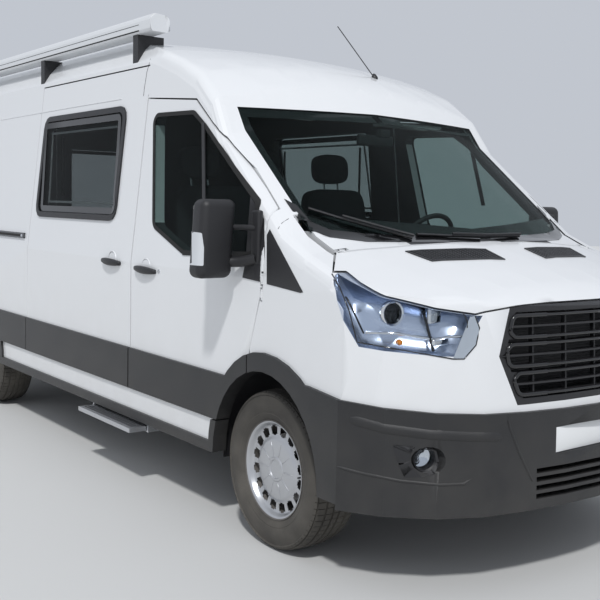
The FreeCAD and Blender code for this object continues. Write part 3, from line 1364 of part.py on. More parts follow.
def add_step(nodes):
    low_y = -half_width + cladding_out
    top = box(step_x, (low_y, -step_in_y), (sill_z - step_top_t, sill_z))
    tread_top = sill_z - step_top_t - panel_gap
    tread_low = tread_top - step_tread_t
    pieces = [top]
    along = (low_y, -step_in_y)
    runner_top = tread_low - running_gap
    for edge, sign in ((step_x[0], 1), (step_x[1], -1)):
        cheek = sorted((edge, edge + sign * step_cheek / 2))
        lip = sorted((edge, edge + sign * step_cheek))
        pieces.append(box(cheek, along, (runner_top - step_lip, sill_z)))
        pieces.append(box(lip, along, (runner_top - step_lip, runner_top)))
    back = (-step_in_y - step_cheek, -step_in_y)
    pieces.append(box(step_x, back, (tread_low - step_lip, floor_z - floor_t)))
    nodes["step_frame"] = fuse(pieces)
    inset = step_cheek / 2 + panel_gap
    nodes["step_tread"] = box((step_x[0] + inset, step_x[1] - inset),
                              (-half_width - step_reach, back[0] - wall * 2), (tread_low, tread_top))


def skin_z(solid, x, y):
    """Height of the body's top surface above a point."""
    probe = Part.makeLine(Vector(x, y, belt_z), Vector(x, y, roof_z + overrun))
    return probe.common(solid).BoundBox.ZMax


def add_small(nodes, outer, film):
    base = Vector(antenna_x, antenna_y, skin_z(outer, antenna_x, antenna_y))
    lean = Vector(*antenna_lean).normalize()
    foot = bar(base - lean * antenna_foot, base + lean * antenna_foot, antenna_foot)
    mast = bar(base, base + lean * antenna_len, antenna_r, tube_sides)
    blades = []
    for y_start, y_end, z_start, z_end in wiper_lines:
        span = Vector(y_end - y_start, z_end - z_start, 0).normalize()
        off = Vector(-span.y, span.x, 0) * (wiper_w / 2)
        outline = [(y_start - off.x, z_start - off.y), (y_end - off.x, z_end - off.y),
                   (y_end + off.x, z_end + off.y), (y_start + off.x, z_start + off.y)]
        blades.append(prism_x(outline, header_x, bonnet_edge_rear[0] + overrun))
    nodes["wipers_antenna"] = Part.makeCompound([film.common(fuse(blades)), fuse([foot, mast]).cut(outer)])


def add_rear(nodes):
    nodes["bumper_rear"] = box((rear_x, rear_skin_x), (-rear_bumper_half, rear_bumper_half), rear_bumper_z)
    frame = nodes["rear_frame"]
    zone = box((rear_x - overrun, rear_skin_x + wall), (-half_width - overrun, -tail_lamp_y), tail_lamp_z)
    lamp = frame.common(zone)
    nodes["tail_lamps"] = Part.makeCompound([lamp, mirrored(lamp)])
    nodes["rear_frame"] = frame.cut(zone).cut(mirrored(zone))


def main():
    os.makedirs("parts", exist_ok=True)
    nodes = {}
    outer, inner, trim_limit = build_body(nodes)
    far = half_width + overrun
    add_doors(nodes, far)
    add_sliding_door(nodes)
    side_trim(nodes, far)
    add_rear_doors(nodes)
    add_bonnet(nodes)
    add_front(nodes, outer)
    add_rear(nodes)
    add_wheels(nodes)
    add_front_axle(nodes)
    houses = add_wheelhouses(nodes)
    add_floor(nodes, houses, inner)
    nodes["cowl"] = nodes["cowl"].cut(Part.makeCompound(houses))
    add_rear_axle(nodes)
    add_underside(nodes)
    add_cab(nodes, trim_limit)
    add_living(nodes, trim_limit)
    add_awning(nodes, outer)
    add_step(nodes)
    add_small(nodes, outer, body_solid(-bumper_out, sill_z, fine_skin).cut(outer))
    for name in list(nodes):
        left = name.replace("_right", "_left")
        if left not in nodes:
            nodes[left] = mirrored(nodes[name])
    for name, shape in nodes.items():
        shape.exportStep("parts/" + name + ".step")


main()
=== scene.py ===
# %% [markdown]
# # Camper van
# A panel van fitted out as a camper. The CAD frame holds its sizes, joints and plain solids, and this
# script dresses that frame: smooth painted panels, lamps, glass, grille, wheels, trim and what shows
# inside. Units are metres, with +X forward, +Y to the van's left, +Z up and the ground at z = 0. The
# frame is loaded first, because every piece takes its place, its body or its skin from it.

# %% Load the CAD frame
import json
import math

import bmesh
import bpy
from mathutils import Matrix, Vector
from mathutils.bvhtree import BVHTree

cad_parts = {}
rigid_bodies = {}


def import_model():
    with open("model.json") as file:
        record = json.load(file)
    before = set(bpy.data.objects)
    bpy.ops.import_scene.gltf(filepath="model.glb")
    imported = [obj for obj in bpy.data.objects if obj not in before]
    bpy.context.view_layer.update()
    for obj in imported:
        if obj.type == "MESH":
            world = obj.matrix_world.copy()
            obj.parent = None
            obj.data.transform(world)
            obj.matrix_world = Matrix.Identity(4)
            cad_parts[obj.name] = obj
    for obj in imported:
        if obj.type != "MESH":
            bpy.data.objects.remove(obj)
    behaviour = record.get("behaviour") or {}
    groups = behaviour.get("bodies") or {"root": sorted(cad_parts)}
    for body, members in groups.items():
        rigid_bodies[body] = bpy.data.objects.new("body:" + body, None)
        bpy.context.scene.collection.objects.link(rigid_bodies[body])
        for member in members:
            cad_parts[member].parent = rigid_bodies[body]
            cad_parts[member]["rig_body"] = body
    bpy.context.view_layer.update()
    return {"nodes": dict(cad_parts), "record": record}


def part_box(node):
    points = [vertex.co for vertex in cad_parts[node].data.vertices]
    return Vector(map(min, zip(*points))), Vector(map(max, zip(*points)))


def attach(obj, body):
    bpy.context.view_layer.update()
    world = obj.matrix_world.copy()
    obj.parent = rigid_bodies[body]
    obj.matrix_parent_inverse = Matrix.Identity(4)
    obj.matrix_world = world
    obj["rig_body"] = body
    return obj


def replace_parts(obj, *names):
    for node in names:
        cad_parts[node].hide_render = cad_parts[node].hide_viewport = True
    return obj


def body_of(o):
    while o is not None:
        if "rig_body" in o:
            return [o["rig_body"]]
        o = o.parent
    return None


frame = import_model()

nodes = frame["nodes"]
print("nodes in the frame:", len(nodes))

# %% [markdown]
# ## Materials
# Each finish is one Principled shader. Real paint, plastic and cloth are never one flat colour, so a
# noise texture drifts their colour and drives their grain. It reads object coordinates: every piece's
# object sits at the origin, so a pattern keeps its scale from piece to piece, with no unwrapping.

# %% Noise that drives colour and grain
NOISE_FROM, NOISE_TO = 0.3, 0.7
materials = {}


def noise_value(tree, scale, detail=3.0, low=0.0, high=1.0):
    """Noise on object coordinates, stretched to run from low to high."""
    coords = tree.nodes.new("ShaderNodeTexCoord")
    noise = tree.nodes.new("ShaderNodeTexNoise")
    noise.inputs["Scale"].default_value = scale
    noise.inputs["Detail"].default_value = detail
    spread = tree.nodes.new("ShaderNodeMapRange")
    spread.inputs["From Min"].default_value = NOISE_FROM
    spread.inputs["From Max"].default_value = NOISE_TO
    spread.inputs["To Min"].default_value = low
    spread.inputs["To Max"].default_value = high
    tree.links.new(coords.outputs["Object"], noise.inputs["Vector"])
    tree.links.new(noise.outputs["Fac"], spread.inputs["Value"])
    return spread.outputs["Result"]


# %% [markdown]
# ## Road dust
# Wheels throw dust at the lower part of a van. It could be painted on by hand, but a ramp on the height
# mixed with noise does it for every finish at once: none above the belt, most at the sills.

# %% Dust that gathers low down
DUST_COLOR = (0.36, 0.33, 0.28, 1)
DUST_TOP_Z, DUST_FOOT_Z = 1.1, 0.3
DUST_SCALE, DUST_DETAIL, DUST_LEAST = 6.0, 6.0, 0.3


def add_dirt(tree, shader, color, amount):
    """Dust that gathers towards the ground, broken up by noise."""
    coords = tree.nodes.new("ShaderNodeTexCoord")
    split = tree.nodes.new("ShaderNodeSeparateXYZ")
    ramp = tree.nodes.new("ShaderNodeMapRange")
    ramp.inputs["From Min"].default_value = DUST_TOP_Z
    ramp.inputs["From Max"].default_value = DUST_FOOT_Z
    ramp.inputs["To Max"].default_value = amount
    times = tree.nodes.new("ShaderNodeMath")
    times.operation = "MULTIPLY"
    mix = tree.nodes.new("ShaderNodeMix")
    mix.data_type = "RGBA"
    mix.inputs["A"].default_value = (*color, 1)
    mix.inputs["B"].default_value = DUST_COLOR
    patches = noise_value(tree, DUST_SCALE, DUST_DETAIL, DUST_LEAST)
    tree.links.new(coords.outputs["Object"], split.inputs["Vector"])
    tree.links.new(split.outputs["Z"], ramp.inputs["Value"])
    tree.links.new(ramp.outputs["Result"], times.inputs[0])
    tree.links.new(patches, times.inputs[1])
    tree.links.new(times.outputs["Value"], mix.inputs["Factor"])
    tree.links.new(mix.outputs["Result"], shader.inputs["Base Color"])


# %% [markdown]
# ## Glass
# A van's panes are thin and bent, and light crosses several of them on its way through the cab. True
# refraction would turn dark and noisy there, so glass here is a clear tint with a thin reflection over
# it, which grows where the pane is seen at a slant.

# %% Clear tint under a reflection
SLANT_BLEND = 0.06
GLASS_BODY = (0.01, 0.012, 0.012, 1)


def see_through(tree, shader, clear, color):
    """Glass as a mix of reflection and plain transmission, which stays bright through several panes."""
    tint = tree.nodes.new("ShaderNodeBsdfTransparent")
    tint.inputs["Color"].default_value = (*[c ** 0.5 for c in color], 1)
    shader.inputs["Base Color"].default_value = GLASS_BODY
    mix = tree.nodes.new("ShaderNodeMixShader")
    grazing = tree.nodes.new("ShaderNodeLayerWeight")
    grazing.inputs["Blend"].default_value = SLANT_BLEND
    share = tree.nodes.new("ShaderNodeMath")
    share.operation = "ADD"
    share.inputs[1].default_value = 1 - clear
    share.use_clamp = True
    out = tree.nodes["Material Output"]
    tree.links.new(grazing.outputs["Facing"], share.inputs[0])
    tree.links.new(share.outputs["Value"], mix.inputs["Fac"])
    tree.links.new(tint.outputs["BSDF"], mix.inputs[1])
    tree.links.new(shader.outputs["BSDF"], mix.inputs[2])
    tree.links.new(mix.outputs["Shader"], out.inputs["Surface"])


# %% [markdown]
# ## One maker for all finishes
# A finish needs a colour, a roughness and a few extras: metal, clear coat, grain, drift, dust or glass.
# One function with these as named arguments keeps the list of finishes short enough to compare side by
# side.

# %% From a few numbers to a material
COAT_ROUGH = 0.05
DRIFT_SCALE, GRAIN_DETAIL = 2.5, 4.0


def material(name, color, rough=0.5, metal=0.0, coat=0.0, grain=None, vary=0.0, dirt=0.0, clear=0.0):
    """One finish.

    grain is (scale, height in metres), vary the share by which the colour drifts, dirt the most dust low
    down, and clear the share of light that glass lets through.
    """
    made = bpy.data.materials.new(name)
    made.use_nodes = True
    tree = made.node_tree
    shader = tree.nodes["Principled BSDF"]
    shader.inputs["Base Color"].default_value = (*color, 1)
    shader.inputs["Roughness"].default_value = rough
    shader.inputs["Metallic"].default_value = metal
    shader.inputs["Coat Weight"].default_value = coat
    shader.inputs["Coat Roughness"].default_value = COAT_ROUGH
    if vary:
        mix = tree.nodes.new("ShaderNodeMix")
        mix.data_type = "RGBA"
        mix.inputs["A"].default_value = (*[c * (1 - vary) for c in color], 1)
        mix.inputs["B"].default_value = (*[min(1, c * (1 + vary)) for c in color], 1)
        tree.links.new(noise_value(tree, DRIFT_SCALE), mix.inputs["Factor"])
        tree.links.new(mix.outputs["Result"], shader.inputs["Base Color"])
    if dirt:
        add_dirt(tree, shader, color, dirt)
    if grain:
        scale, height = grain
        bump = tree.nodes.new("ShaderNodeBump")
        bump.inputs["Distance"].default_value = height
        tree.links.new(noise_value(tree, scale, GRAIN_DETAIL), bump.inputs["Height"])
        tree.links.new(bump.outputs["Normal"], shader.inputs["Normal"])
    if clear:
        see_through(tree, shader, clear, color)
    materials[name] = made
    return made


# %% [markdown]
# ## The van's finishes
# White enamel under a clear coat, grained moulded plastic, matt rubber, painted and bare metal, lamp
# plastics and glass, and the cloth, laminate and lining of the inside. Colours are linear, so the greys
# of the plastics look lower here than they do in the picture.

# %% Paints, plastics and rubber
material("white_paint", (0.78, 0.79, 0.80), rough=0.28, coat=0.7, dirt=0.2)
material("grey_plastic", (0.013, 0.0137, 0.0158), rough=0.40, grain=(900, 0.0003), dirt=0.08)
material("black_plastic", (0.018, 0.018, 0.02), rough=0.42, grain=(700, 0.0003))
material("gloss_black", (0.008, 0.008, 0.009), rough=0.12, coat=0.5)
material("seal_rubber", (0.012, 0.012, 0.012), rough=0.75, grain=(400, 0.0004))
material("tyre_rubber", (0.026, 0.024, 0.022), rough=0.82, grain=(250, 0.0008), dirt=0.24)
material("chrome", (0.80, 0.81, 0.83), rough=0.07, metal=1.0)
material("silver_paint", (0.52, 0.53, 0.55), rough=0.30, metal=0.75, coat=0.4, vary=0.05)
material("satin_alloy", (0.62, 0.63, 0.65), rough=0.38, metal=1.0, grain=(500, 0.0002))
material("steel", (0.40, 0.39, 0.38), rough=0.45, metal=1.0, vary=0.15)
material("chassis_black", (0.03, 0.03, 0.032), rough=0.6, vary=0.2, grain=(60, 0.0006))
material("cast_iron", (0.16, 0.15, 0.14), rough=0.7, metal=0.6, grain=(200, 0.001), vary=0.2)
material("plate_white", (0.78, 0.79, 0.79), rough=0.35)
material("case_paint", (0.72, 0.735, 0.75), rough=0.35, coat=0.3)
print("paints, plastics and metals:", len(materials))

# %% [markdown]
# ## Finishes of lamps and of the inside
# A lamp is clear plastic over bright metal, with red, amber and white fields at the rear. Inside,
# everything is dark and dull, so that the cab reads as a shaded room behind the glass.

# %% Glass, lamps and interior
material("screen_glass", (0.50, 0.60, 0.58), rough=0.02, clear=0.97)
material("dark_glass", (0.42, 0.45, 0.45), rough=0.02, clear=0.95)
material("lamp_lens", (0.90, 0.93, 0.96), rough=0.02, clear=0.97)
# The bowl's blue tint is painted reflection of the sky over its bright metal.
material("lamp_housing", (0.68, 0.75, 0.88), rough=0.24, metal=0.9, vary=0.1)
material("lamp_bright", (0.74, 0.77, 0.81), rough=0.22, metal=0.5, vary=0.1)
material("red_lens", (0.42, 0.012, 0.015), rough=0.12, coat=0.6)
material("amber_lens", (0.75, 0.24, 0.02), rough=0.15, coat=0.5)
material("white_lens", (0.62, 0.64, 0.66), rough=0.12, coat=0.6)
material("mirror_glass", (0.75, 0.77, 0.80), rough=0.02, metal=1.0)
material("seat_cloth", (0.045, 0.047, 0.052), rough=0.92, grain=(1400, 0.001), vary=0.15)
material("dash_plastic", (0.03, 0.031, 0.034), rough=0.62, grain=(1100, 0.0005))
material("laminate", (0.46, 0.34, 0.22), rough=0.42, vary=0.12)
material("worktop", (0.16, 0.155, 0.15), rough=0.35, vary=0.1)
material("bedding", (0.30, 0.33, 0.38), rough=0.95, grain=(900, 0.001))
material("lining", (0.055, 0.057, 0.062), rough=0.9, grain=(800, 0.0008), vary=0.1)
print("finishes:", len(materials))

# %% [markdown]
# ## Finishes of the plain solids
# Axles, floor, engine and other hidden pieces are right as the solids show them, so they only need a
# finish. The table gives one to every node, also to those that a finer copy stands for later.

# %% Finish of each node
FINISH = {
    "white_paint": ["roof", "roof_front", "cowl", "wing_right", "wing_left", "body_right", "body_left",
                    "front_panel", "door_front_right", "door_front_left", "door_sliding", "rear_frame",
                    "bonnet", "door_rear_right", "door_rear_left"],
    "screen_glass": ["windscreen", "door_glass_right", "door_glass_left"],
    "dark_glass": ["camper_windows", "rear_glass_right", "rear_glass_left"],
    "lamp_lens": ["headlamps", "fog_lamps"],
    "red_lens": ["tail_lamps"],
    "plate_white": ["plate_front"],
    "grey_plastic": ["bumper_front", "side_trim", "door_trim_right", "door_trim_left", "bumper_rear"],
    "black_plastic": ["grille", "mirror_right", "mirror_left", "window_frames", "wipers_antenna",
                      "wheelhouses", "awning_brackets"],
    "case_paint": ["awning"],
    "satin_alloy": ["step_frame", "step_tread"],
    "silver_paint": ["rim_front_right", "rim_front_left", "rim_rear_right", "rim_rear_left"],
    "tyre_rubber": ["tyre_front_right", "tyre_front_left", "tyre_rear_right", "tyre_rear_left"],
    "chassis_black": ["floor", "front_subframe", "rear_axle"],
    "cast_iron": ["knuckle_right", "knuckle_left", "engine"],
    "steel": ["exhaust"],
    "seat_cloth": ["seats"],
    "dash_plastic": ["dashboard", "steering_wheel"],
    "laminate": ["furniture"],
}
FINISH_OF = {name: finish for finish, names in FINISH.items() for name in names}
for name, finish in FINISH_OF.items():
    nodes[name].data.materials.clear()
    nodes[name].data.materials.append(materials[finish])
print("nodes with a finish:", len(FINISH_OF))

# %% [markdown]
# ## From a bmesh to a piece
# Most forms below are built in a bmesh, Blender's editable mesh. One function ends them all the same way:
# it merges doubled points, turns faces outward, shades smooth up to an angle and lets the object ride on
# the CAD body that carries it, so that it moves with its door or wheel.

# %% Piece maker
DOUBLES = 1e-5


def piece(name, bm, finish, body, angle=35, outward=True):
    """Object from a bmesh, smooth up to an angle in degrees; finish is one name or one for each slot."""
    bmesh.ops.remove_doubles(bm, verts=bm.verts, dist=DOUBLES)
    if outward:
        bmesh.ops.recalc_face_normals(bm, faces=bm.faces)
    mesh = bpy.data.meshes.new(name)
    bm.to_mesh(mesh)
    bm.free()
    mesh.polygons.foreach_set("use_smooth", [True] * len(mesh.polygons))
    mesh.set_sharp_from_angle(angle=math.radians(angle))
    for one in [finish] if isinstance(finish, str) else finish:
        mesh.materials.append(materials[one])
    obj = bpy.data.objects.new(name, mesh)
    bpy.context.scene.collection.objects.link(obj)
    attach(obj, body)
    print(name, "faces:", len(mesh.polygons))
    return obj


# %% [markdown]
# ## Smooth copies of the panels
# A pressed steel panel is smooth up to its edges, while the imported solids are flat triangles. Each panel
# gets a copy whose triangles are merged and shaded as one skin, sharp only where the panel really turns.
# Normals weighted by face size keep long thin triangles from showing as streaks.

# %% Smooth copy of a node
NODE_DOUBLES = 2e-5
HANDLE_SPACE = {
    "door_trim_right": ((0.60, -1.3, 1.05), (1.05, -0.8, 1.30)),
    "door_trim_left": ((0.60, 0.8, 1.05), (1.05, 1.3, 1.30)),
    "side_trim": ((0.22, -1.3, 1.10), (0.62, -0.8, 1.30)),
}


def node_bmesh(name):
    """The node's mesh as a bmesh with its triangles merged."""
    bm = bmesh.new()
    bm.from_mesh(nodes[name].data)
    bmesh.ops.transform(bm, matrix=nodes[name].matrix_world, verts=bm.verts)
    bmesh.ops.remove_doubles(bm, verts=bm.verts, dist=NODE_DOUBLES)
    return bm


def smooth_copy(name, finish, body, angle=28):
    """Smooth copy that stands for a node; a handle in its space is left to a piece of its own."""
    bm = node_bmesh(name)
    if name in HANDLE_SPACE:
        low, high = HANDLE_SPACE[name]
        handle_faces = [f for f in bm.faces
                        if all(a < c < b for a, c, b in zip(low, f.calc_center_median(), high))]
        bmesh.ops.delete(bm, geom=handle_faces, context="FACES")
    made = piece("smooth_" + name, bm, finish, body, angle, outward=False)
    even = made.modifiers.new("even_shade", "WEIGHTED_NORMAL")
    even.keep_sharp = True
    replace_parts(made, name)
    return made


# %% [markdown]
# ## Dark lining
# From inside, a camper's walls are lined with grey felt or board. The wall solids are as thick as the
# whole wall, so their inward faces take a second material slot in place of a separate lining piece.

# %% Lining on the inward faces
LINED = ["roof", "roof_front", "cowl", "body_right", "body_left", "door_sliding", "rear_frame",
         "door_rear_right", "door_rear_left", "door_front_right", "door_front_left"]
LINING_Z, LINING_FROM = 1.45, 0.66
INWARD_LEAST, BULKHEAD_LEAST = 0.02, 0.3


def line_inside(obj):
    """Gives the faces of a wall that look in towards the van's middle a dark lining."""
    obj.data.materials.append(materials["lining"])
    count = 0
    for p in obj.data.polygons:
        away = Vector((0, p.center.y, p.center.z - LINING_Z))
        inward = p.normal.dot(away) < -INWARD_LEAST and p.center.z > LINING_FROM
        if inward or (obj.name.endswith("cowl") and p.normal.x < -BULKHEAD_LEAST):
            p.material_index = 1
            count += 1
    return count


# %% [markdown]
# ## Every painted panel and the big mouldings
# The roof cap and the walls bend gently, so they stay smooth only below a small angle, or their creases
# would blur. Flat doors and mouldings can take a wider one.

# %% Make the copies
BODY_OF = {node: body for body, held in frame["record"]["behaviour"]["bodies"].items() for node in held}
SMOOTH = FINISH["white_paint"] + ["bumper_front", "side_trim", "door_trim_right", "door_trim_left",
                                  "window_frames", "camper_windows", "awning", "windscreen", "wheelhouses",
                                  "exhaust", "door_glass_right", "door_glass_left"]
PANEL_ANGLE = 28
SOFT_ANGLE = {"roof_front": 16, "body_right": 18, "body_left": 18, "cowl": 16, "wing_right": 20,
              "wing_left": 20}
for name in SMOOTH:
    made = smooth_copy(name, FINISH_OF[name], BODY_OF[name], SOFT_ANGLE.get(name, PANEL_ANGLE))
    if name in LINED:
        print(name, "lined faces:", line_inside(made))
print("smooth copies:", len(SMOOTH))

# %% [markdown]
# ## The photographer's view
# The camera stands ahead of the van's right front corner. Its place and angles were fitted to the known
# wheelbase, tyres and width. A matrix of its three axes sets them exactly, and the lens and the two
# shifts come from the focal length and the optical centre in pixels of the 600 by 600 picture.

# %% Camera
CAMERA_AT = Vector((5.3509, -3.3102, 1.5366))
CAMERA_ANGLES = (141.293, -4.139, 1.251)
FOCAL_PX = 943.03
CENTRE_PX = (341.34, 272.57)
PICTURE_PX = 600
SENSOR_MM = 36


def camera_axes():
    """The camera's directions ahead, to its right and up, from its yaw, pitch and roll."""
    yaw, pitch, roll = (math.radians(a) for a in CAMERA_ANGLES)
    ahead = Vector((math.cos(yaw) * math.cos(pitch), math.sin(yaw) * math.cos(pitch), math.sin(pitch)))
    side = Vector((math.sin(yaw), -math.cos(yaw), 0))
    over = side.cross(ahead)
    right = side * math.cos(roll) + over * math.sin(roll)
    up = over * math.cos(roll) - side * math.sin(roll)
    return ahead, right, up


def add_camera():
    """Camera at the photographer's place, with the picture's lens and shifts."""
    ahead, right, up = camera_axes()
    data = bpy.data.cameras.new("photo_camera")
    cam = bpy.data.objects.new("photo_camera", data)
    bpy.context.scene.collection.objects.link(cam)
    cam.matrix_world = Matrix((
        (right.x, up.x, -ahead.x, CAMERA_AT.x), (right.y, up.y, -ahead.y, CAMERA_AT.y),
        (right.z, up.z, -ahead.z, CAMERA_AT.z), (0, 0, 0, 1)))
    data.sensor_width = SENSOR_MM
    data.lens = FOCAL_PX / PICTURE_PX * SENSOR_MM
    data.shift_x = (PICTURE_PX / 2 - CENTRE_PX[0]) / PICTURE_PX
    data.shift_y = (CENTRE_PX[1] - PICTURE_PX / 2) / PICTURE_PX
    bpy.context.scene.camera = cam
    print("camera lens, mm:", round(data.lens, 1))


add_camera()

# %% [markdown]
# ## Finding the skin
# Seals, black borders, lamp faces and vents lie on curved panels. Each is drawn flat in one view of the
# van and dropped on the CAD faces below. A view turns two numbers into a ray, and a search tree over the
# faces finds where the ray lands. In the photo's view the two numbers are a pixel, so what was measured
# in the picture lands where it belongs in space.

# %% Rays and landing places
FAR = 5
SIDE_FAR = 3


def photo_ray(u, v):
    """Ray from the camera through a pixel."""
    ahead, right, up = camera_axes()
    across = right * ((u - CENTRE_PX[0]) / FOCAL_PX)
    down = up * ((v - CENTRE_PX[1]) / FOCAL_PX)
    return CAMERA_AT, (ahead + across - down).normalized()


VIEWS = {
    "right": lambda a, b: (Vector((a, -SIDE_FAR, b)), Vector((0, 1, 0))),
    "front": lambda a, b: (Vector((FAR, a, b)), Vector((-1, 0, 0))),
    "rear": lambda a, b: (Vector((-FAR, a, b)), Vector((1, 0, 0))),
    "top": lambda a, b: (Vector((a, b, FAR)), Vector((0, 0, -1))),
    "photo": photo_ray,
}


def skin_tree(*names):
    """Search tree over the CAD faces of some nodes at rest."""
    points = []
    polygons = []
    for name in names:
        first = len(points)
        points += [nodes[name].matrix_world @ v.co for v in nodes[name].data.vertices]
        polygons += [[first + i for i in p.vertices] for p in nodes[name].data.polygons]
    return BVHTree.FromPolygons(points, polygons)


def land(tree, view, a, b, lift=0.0):
    """Point of the skin under a place in a view, lifted off along the skin's normal, and that normal."""
    start, direction = VIEWS[view](a, b)
    hit, normal, _, _ = tree.ray_cast(start, direction)
    if hit is None:
        return None, None
    if normal.dot(direction) > 0:
        normal = -normal
    return hit + normal * lift, normal


# %% [markdown]
# ## Laying a flat drawing on the skin
# A drawn outline has points only at its corners, so it would cut straight through a curved panel. It is
# first cut along a fine grid with bisect_plane, then each point is dropped, and the sheet is thickened
# outward.

# %% Cut, drop and thicken
CUT_DOUBLES = 1e-7
DRAWN_DOUBLES = 1e-6


def cut_grid(bm, step):
    """Cuts a flat drawing along a grid whose lines lie about a step apart."""
    for axis in (0, 1):
        low = min(v.co[axis] for v in bm.verts)
        high = max(v.co[axis] for v in bm.verts)
        count = int((high - low) / step)
        for i in range(1, count + 1):
            place = [0, 0, 0]
            normal = [0, 0, 0]
            place[axis] = low + (high - low) * i / (count + 1)
            normal[axis] = 1
            bmesh.ops.bisect_plane(bm, geom=bm.verts[:] + bm.edges[:] + bm.faces[:], dist=CUT_DOUBLES,
                                   plane_co=place, plane_no=normal)


def laid(name, view, shapes, tree, finish, body, step=0.03, lift=0.0, thick=0.0, angle=35):
    """Outlines drawn in a view, dropped on the skin at some lift and thickened outward from there."""
    bm = bmesh.new()
    for points in shapes:
        bm.faces.new([bm.verts.new((a, b, 0)) for a, b in points])
    bmesh.ops.remove_doubles(bm, verts=bm.verts, dist=DRAWN_DOUBLES)
    cut_grid(bm, step)
    bmesh.ops.triangulate(bm, faces=[f for f in bm.faces if len(f.verts) > 4])
    missed = []
    for v in bm.verts:
        place, _ = land(tree, view, v.co.x, v.co.y, lift)
        if place is None:
            missed.append(v)
        else:
            v.co = place
    bmesh.ops.delete(bm, geom=missed, context="VERTS")
    toward = VIEWS[view](*shapes[0][0])[1]
    bm.normal_update()
    bmesh.ops.reverse_faces(bm, faces=[f for f in bm.faces if f.normal.dot(toward) > 0])
    if thick:
        bm.normal_update()
        bmesh.ops.solidify(bm, geom=bm.faces[:], thickness=-thick)
    return piece(name, bm, finish, body, angle, outward=bool(thick))


# %% [markdown]
# ## Outlines and rings
# Window seals and lamp fields have round corners and an even width. They are worked out from a few corner
# points: arcs turn the corners, an inset moves the whole line in or out, and a band joins two such lines.

# %% Rounded corners, insets and bands
STRAIGHT = 0.02
SHARPEST = 0.5


def rectangle(low, high):
    """Corners of a flat rectangle, in turn, from two opposite ones."""
    return [(low[0], low[1]), (high[0], low[1]), (high[0], high[1]), (low[0], high[1])]


def rounded(points, radii, steps=5):
    """Flat outline with its corners turned on arcs."""
    count = len(points)
    radii = radii if isinstance(radii, list) else [radii] * count
    out = []
    for i in range(count):
        here = Vector(points[i])
        back = (Vector(points[i - 1]) - here).normalized()
        ahead = (Vector(points[(i + 1) % count]) - here).normalized()
        half = back.angle(ahead) / 2
        if radii[i] <= 0 or half > math.pi / 2 - STRAIGHT:
            out.append(tuple(here))
            continue
        centre = here + (back + ahead).normalized() * (radii[i] / math.sin(half))
        start = here + back * (radii[i] / math.tan(half)) - centre
        end = here + ahead * (radii[i] / math.tan(half)) - centre
        for step in range(steps + 1):
            out.append(tuple(centre + start.slerp(end, step / steps) * radii[i]))
    return out


def inset(points, by):
    """Flat outline moved inward, or outward for a negative width."""
    count = len(points)
    area = sum(points[i - 1][0] * points[i][1] - points[i][0] * points[i - 1][1] for i in range(count))
    turn = by if area > 0 else -by
    out = []
    for i in range(count):
        here = Vector(points[i])
        back = (here - Vector(points[i - 1])).normalized()
        ahead = (Vector(points[(i + 1) % count]) - here).normalized()
        mid = Vector((-back.y - ahead.y, back.x + ahead.x))
        out.append(tuple(here + mid * (turn * 2 / max(mid.length_squared, SHARPEST))))
    return out


def band(outer, inner):
    """Ring between two outlines with as many points each."""
    count = len(outer)
    return [[outer[i], outer[(i + 1) % count], inner[(i + 1) % count], inner[i]] for i in range(count)]


# %% [markdown]
# ## Bars
# Arms, seams, posts and spokes are bars along a line. A curve with a bevel would do, but extruding a
# circle face from point to point gives a closed mesh at once, with its ends capped.

# %% Bar along a line
def tube(name, path, radius, finish, body, sides=10, flat=1.0, angle=50):
    """Bar made by extruding a circle from each point to the next; flat squashes it upright."""
    path = [Vector(p) for p in path]
    bm = bmesh.new()
    frames = []
    for i, here in enumerate(path):
        ahead = (path[min(i + 1, len(path) - 1)] - path[max(i - 1, 0)]).normalized()
        turn = ahead.to_track_quat("Z", "Y").to_matrix().to_4x4()
        frames.append(Matrix.Translation(here) @ turn @ Matrix.Diagonal((1, flat, 1, 1)))
    ring = bmesh.ops.create_circle(bm, cap_ends=True, radius=radius, segments=sides, matrix=frames[0])
    face = ring["verts"][0].link_faces[0]
    for before, after in zip(frames, frames[1:]):
        made = bmesh.ops.extrude_discrete_faces(bm, faces=[face])
        face = made["faces"][0]
        bmesh.ops.transform(bm, matrix=after @ before.inverted(), verts=list(face.verts))
    bmesh.ops.holes_fill(bm, edges=[e for e in bm.edges if e.is_boundary], sides=0)
    return piece(name, bm, finish, body, angle)


# %% [markdown]
# ## Turned shapes
# Wheels, reflectors, knobs and caps are round about an axis, as if cut on a lathe. Their section is drawn
# once and spun about Z with bmesh's spin, then the form is turned to its axis and moved to its centre.

# %% Spin a section and stand it in place
def spun(profile, steps=64):
    """Turns (along, radius) points, an open line from pole to pole or a closed ring, about Z."""
    bm = bmesh.new()
    verts = [bm.verts.new((radius, 0, along)) for along, radius in profile]
    closed = all(radius > 0 for _, radius in profile)
    edges = [bm.edges.new((a, b)) for a, b in zip(verts, verts[1:])]
    if closed:
        edges.append(bm.edges.new((verts[-1], verts[0])))
    bmesh.ops.spin(bm, geom=verts + edges, cent=(0, 0, 0), axis=(0, 0, 1), dvec=(0, 0, 0),
                   angle=2 * math.pi, steps=steps, use_merge=True, use_duplicate=False)
    bmesh.ops.remove_doubles(bm, verts=bm.verts, dist=DOUBLES)
    return bm


def set_along(bm, centre, axis):
    """Moves a form made about Z so that it stands at a point along an axis."""
    turn = Vector(axis).to_track_quat("Z", "Y").to_matrix().to_4x4()
    bmesh.ops.transform(bm, matrix=Matrix.Translation(Vector(centre)) @ turn, verts=bm.verts)


def lathe(name, profile, centre, axis, finish, body, steps=64, angle=35):
    """Turned piece at a point along an axis."""
    bm = spun(profile, steps)
    set_along(bm, centre, axis)
    return piece(name, bm, finish, body, angle)


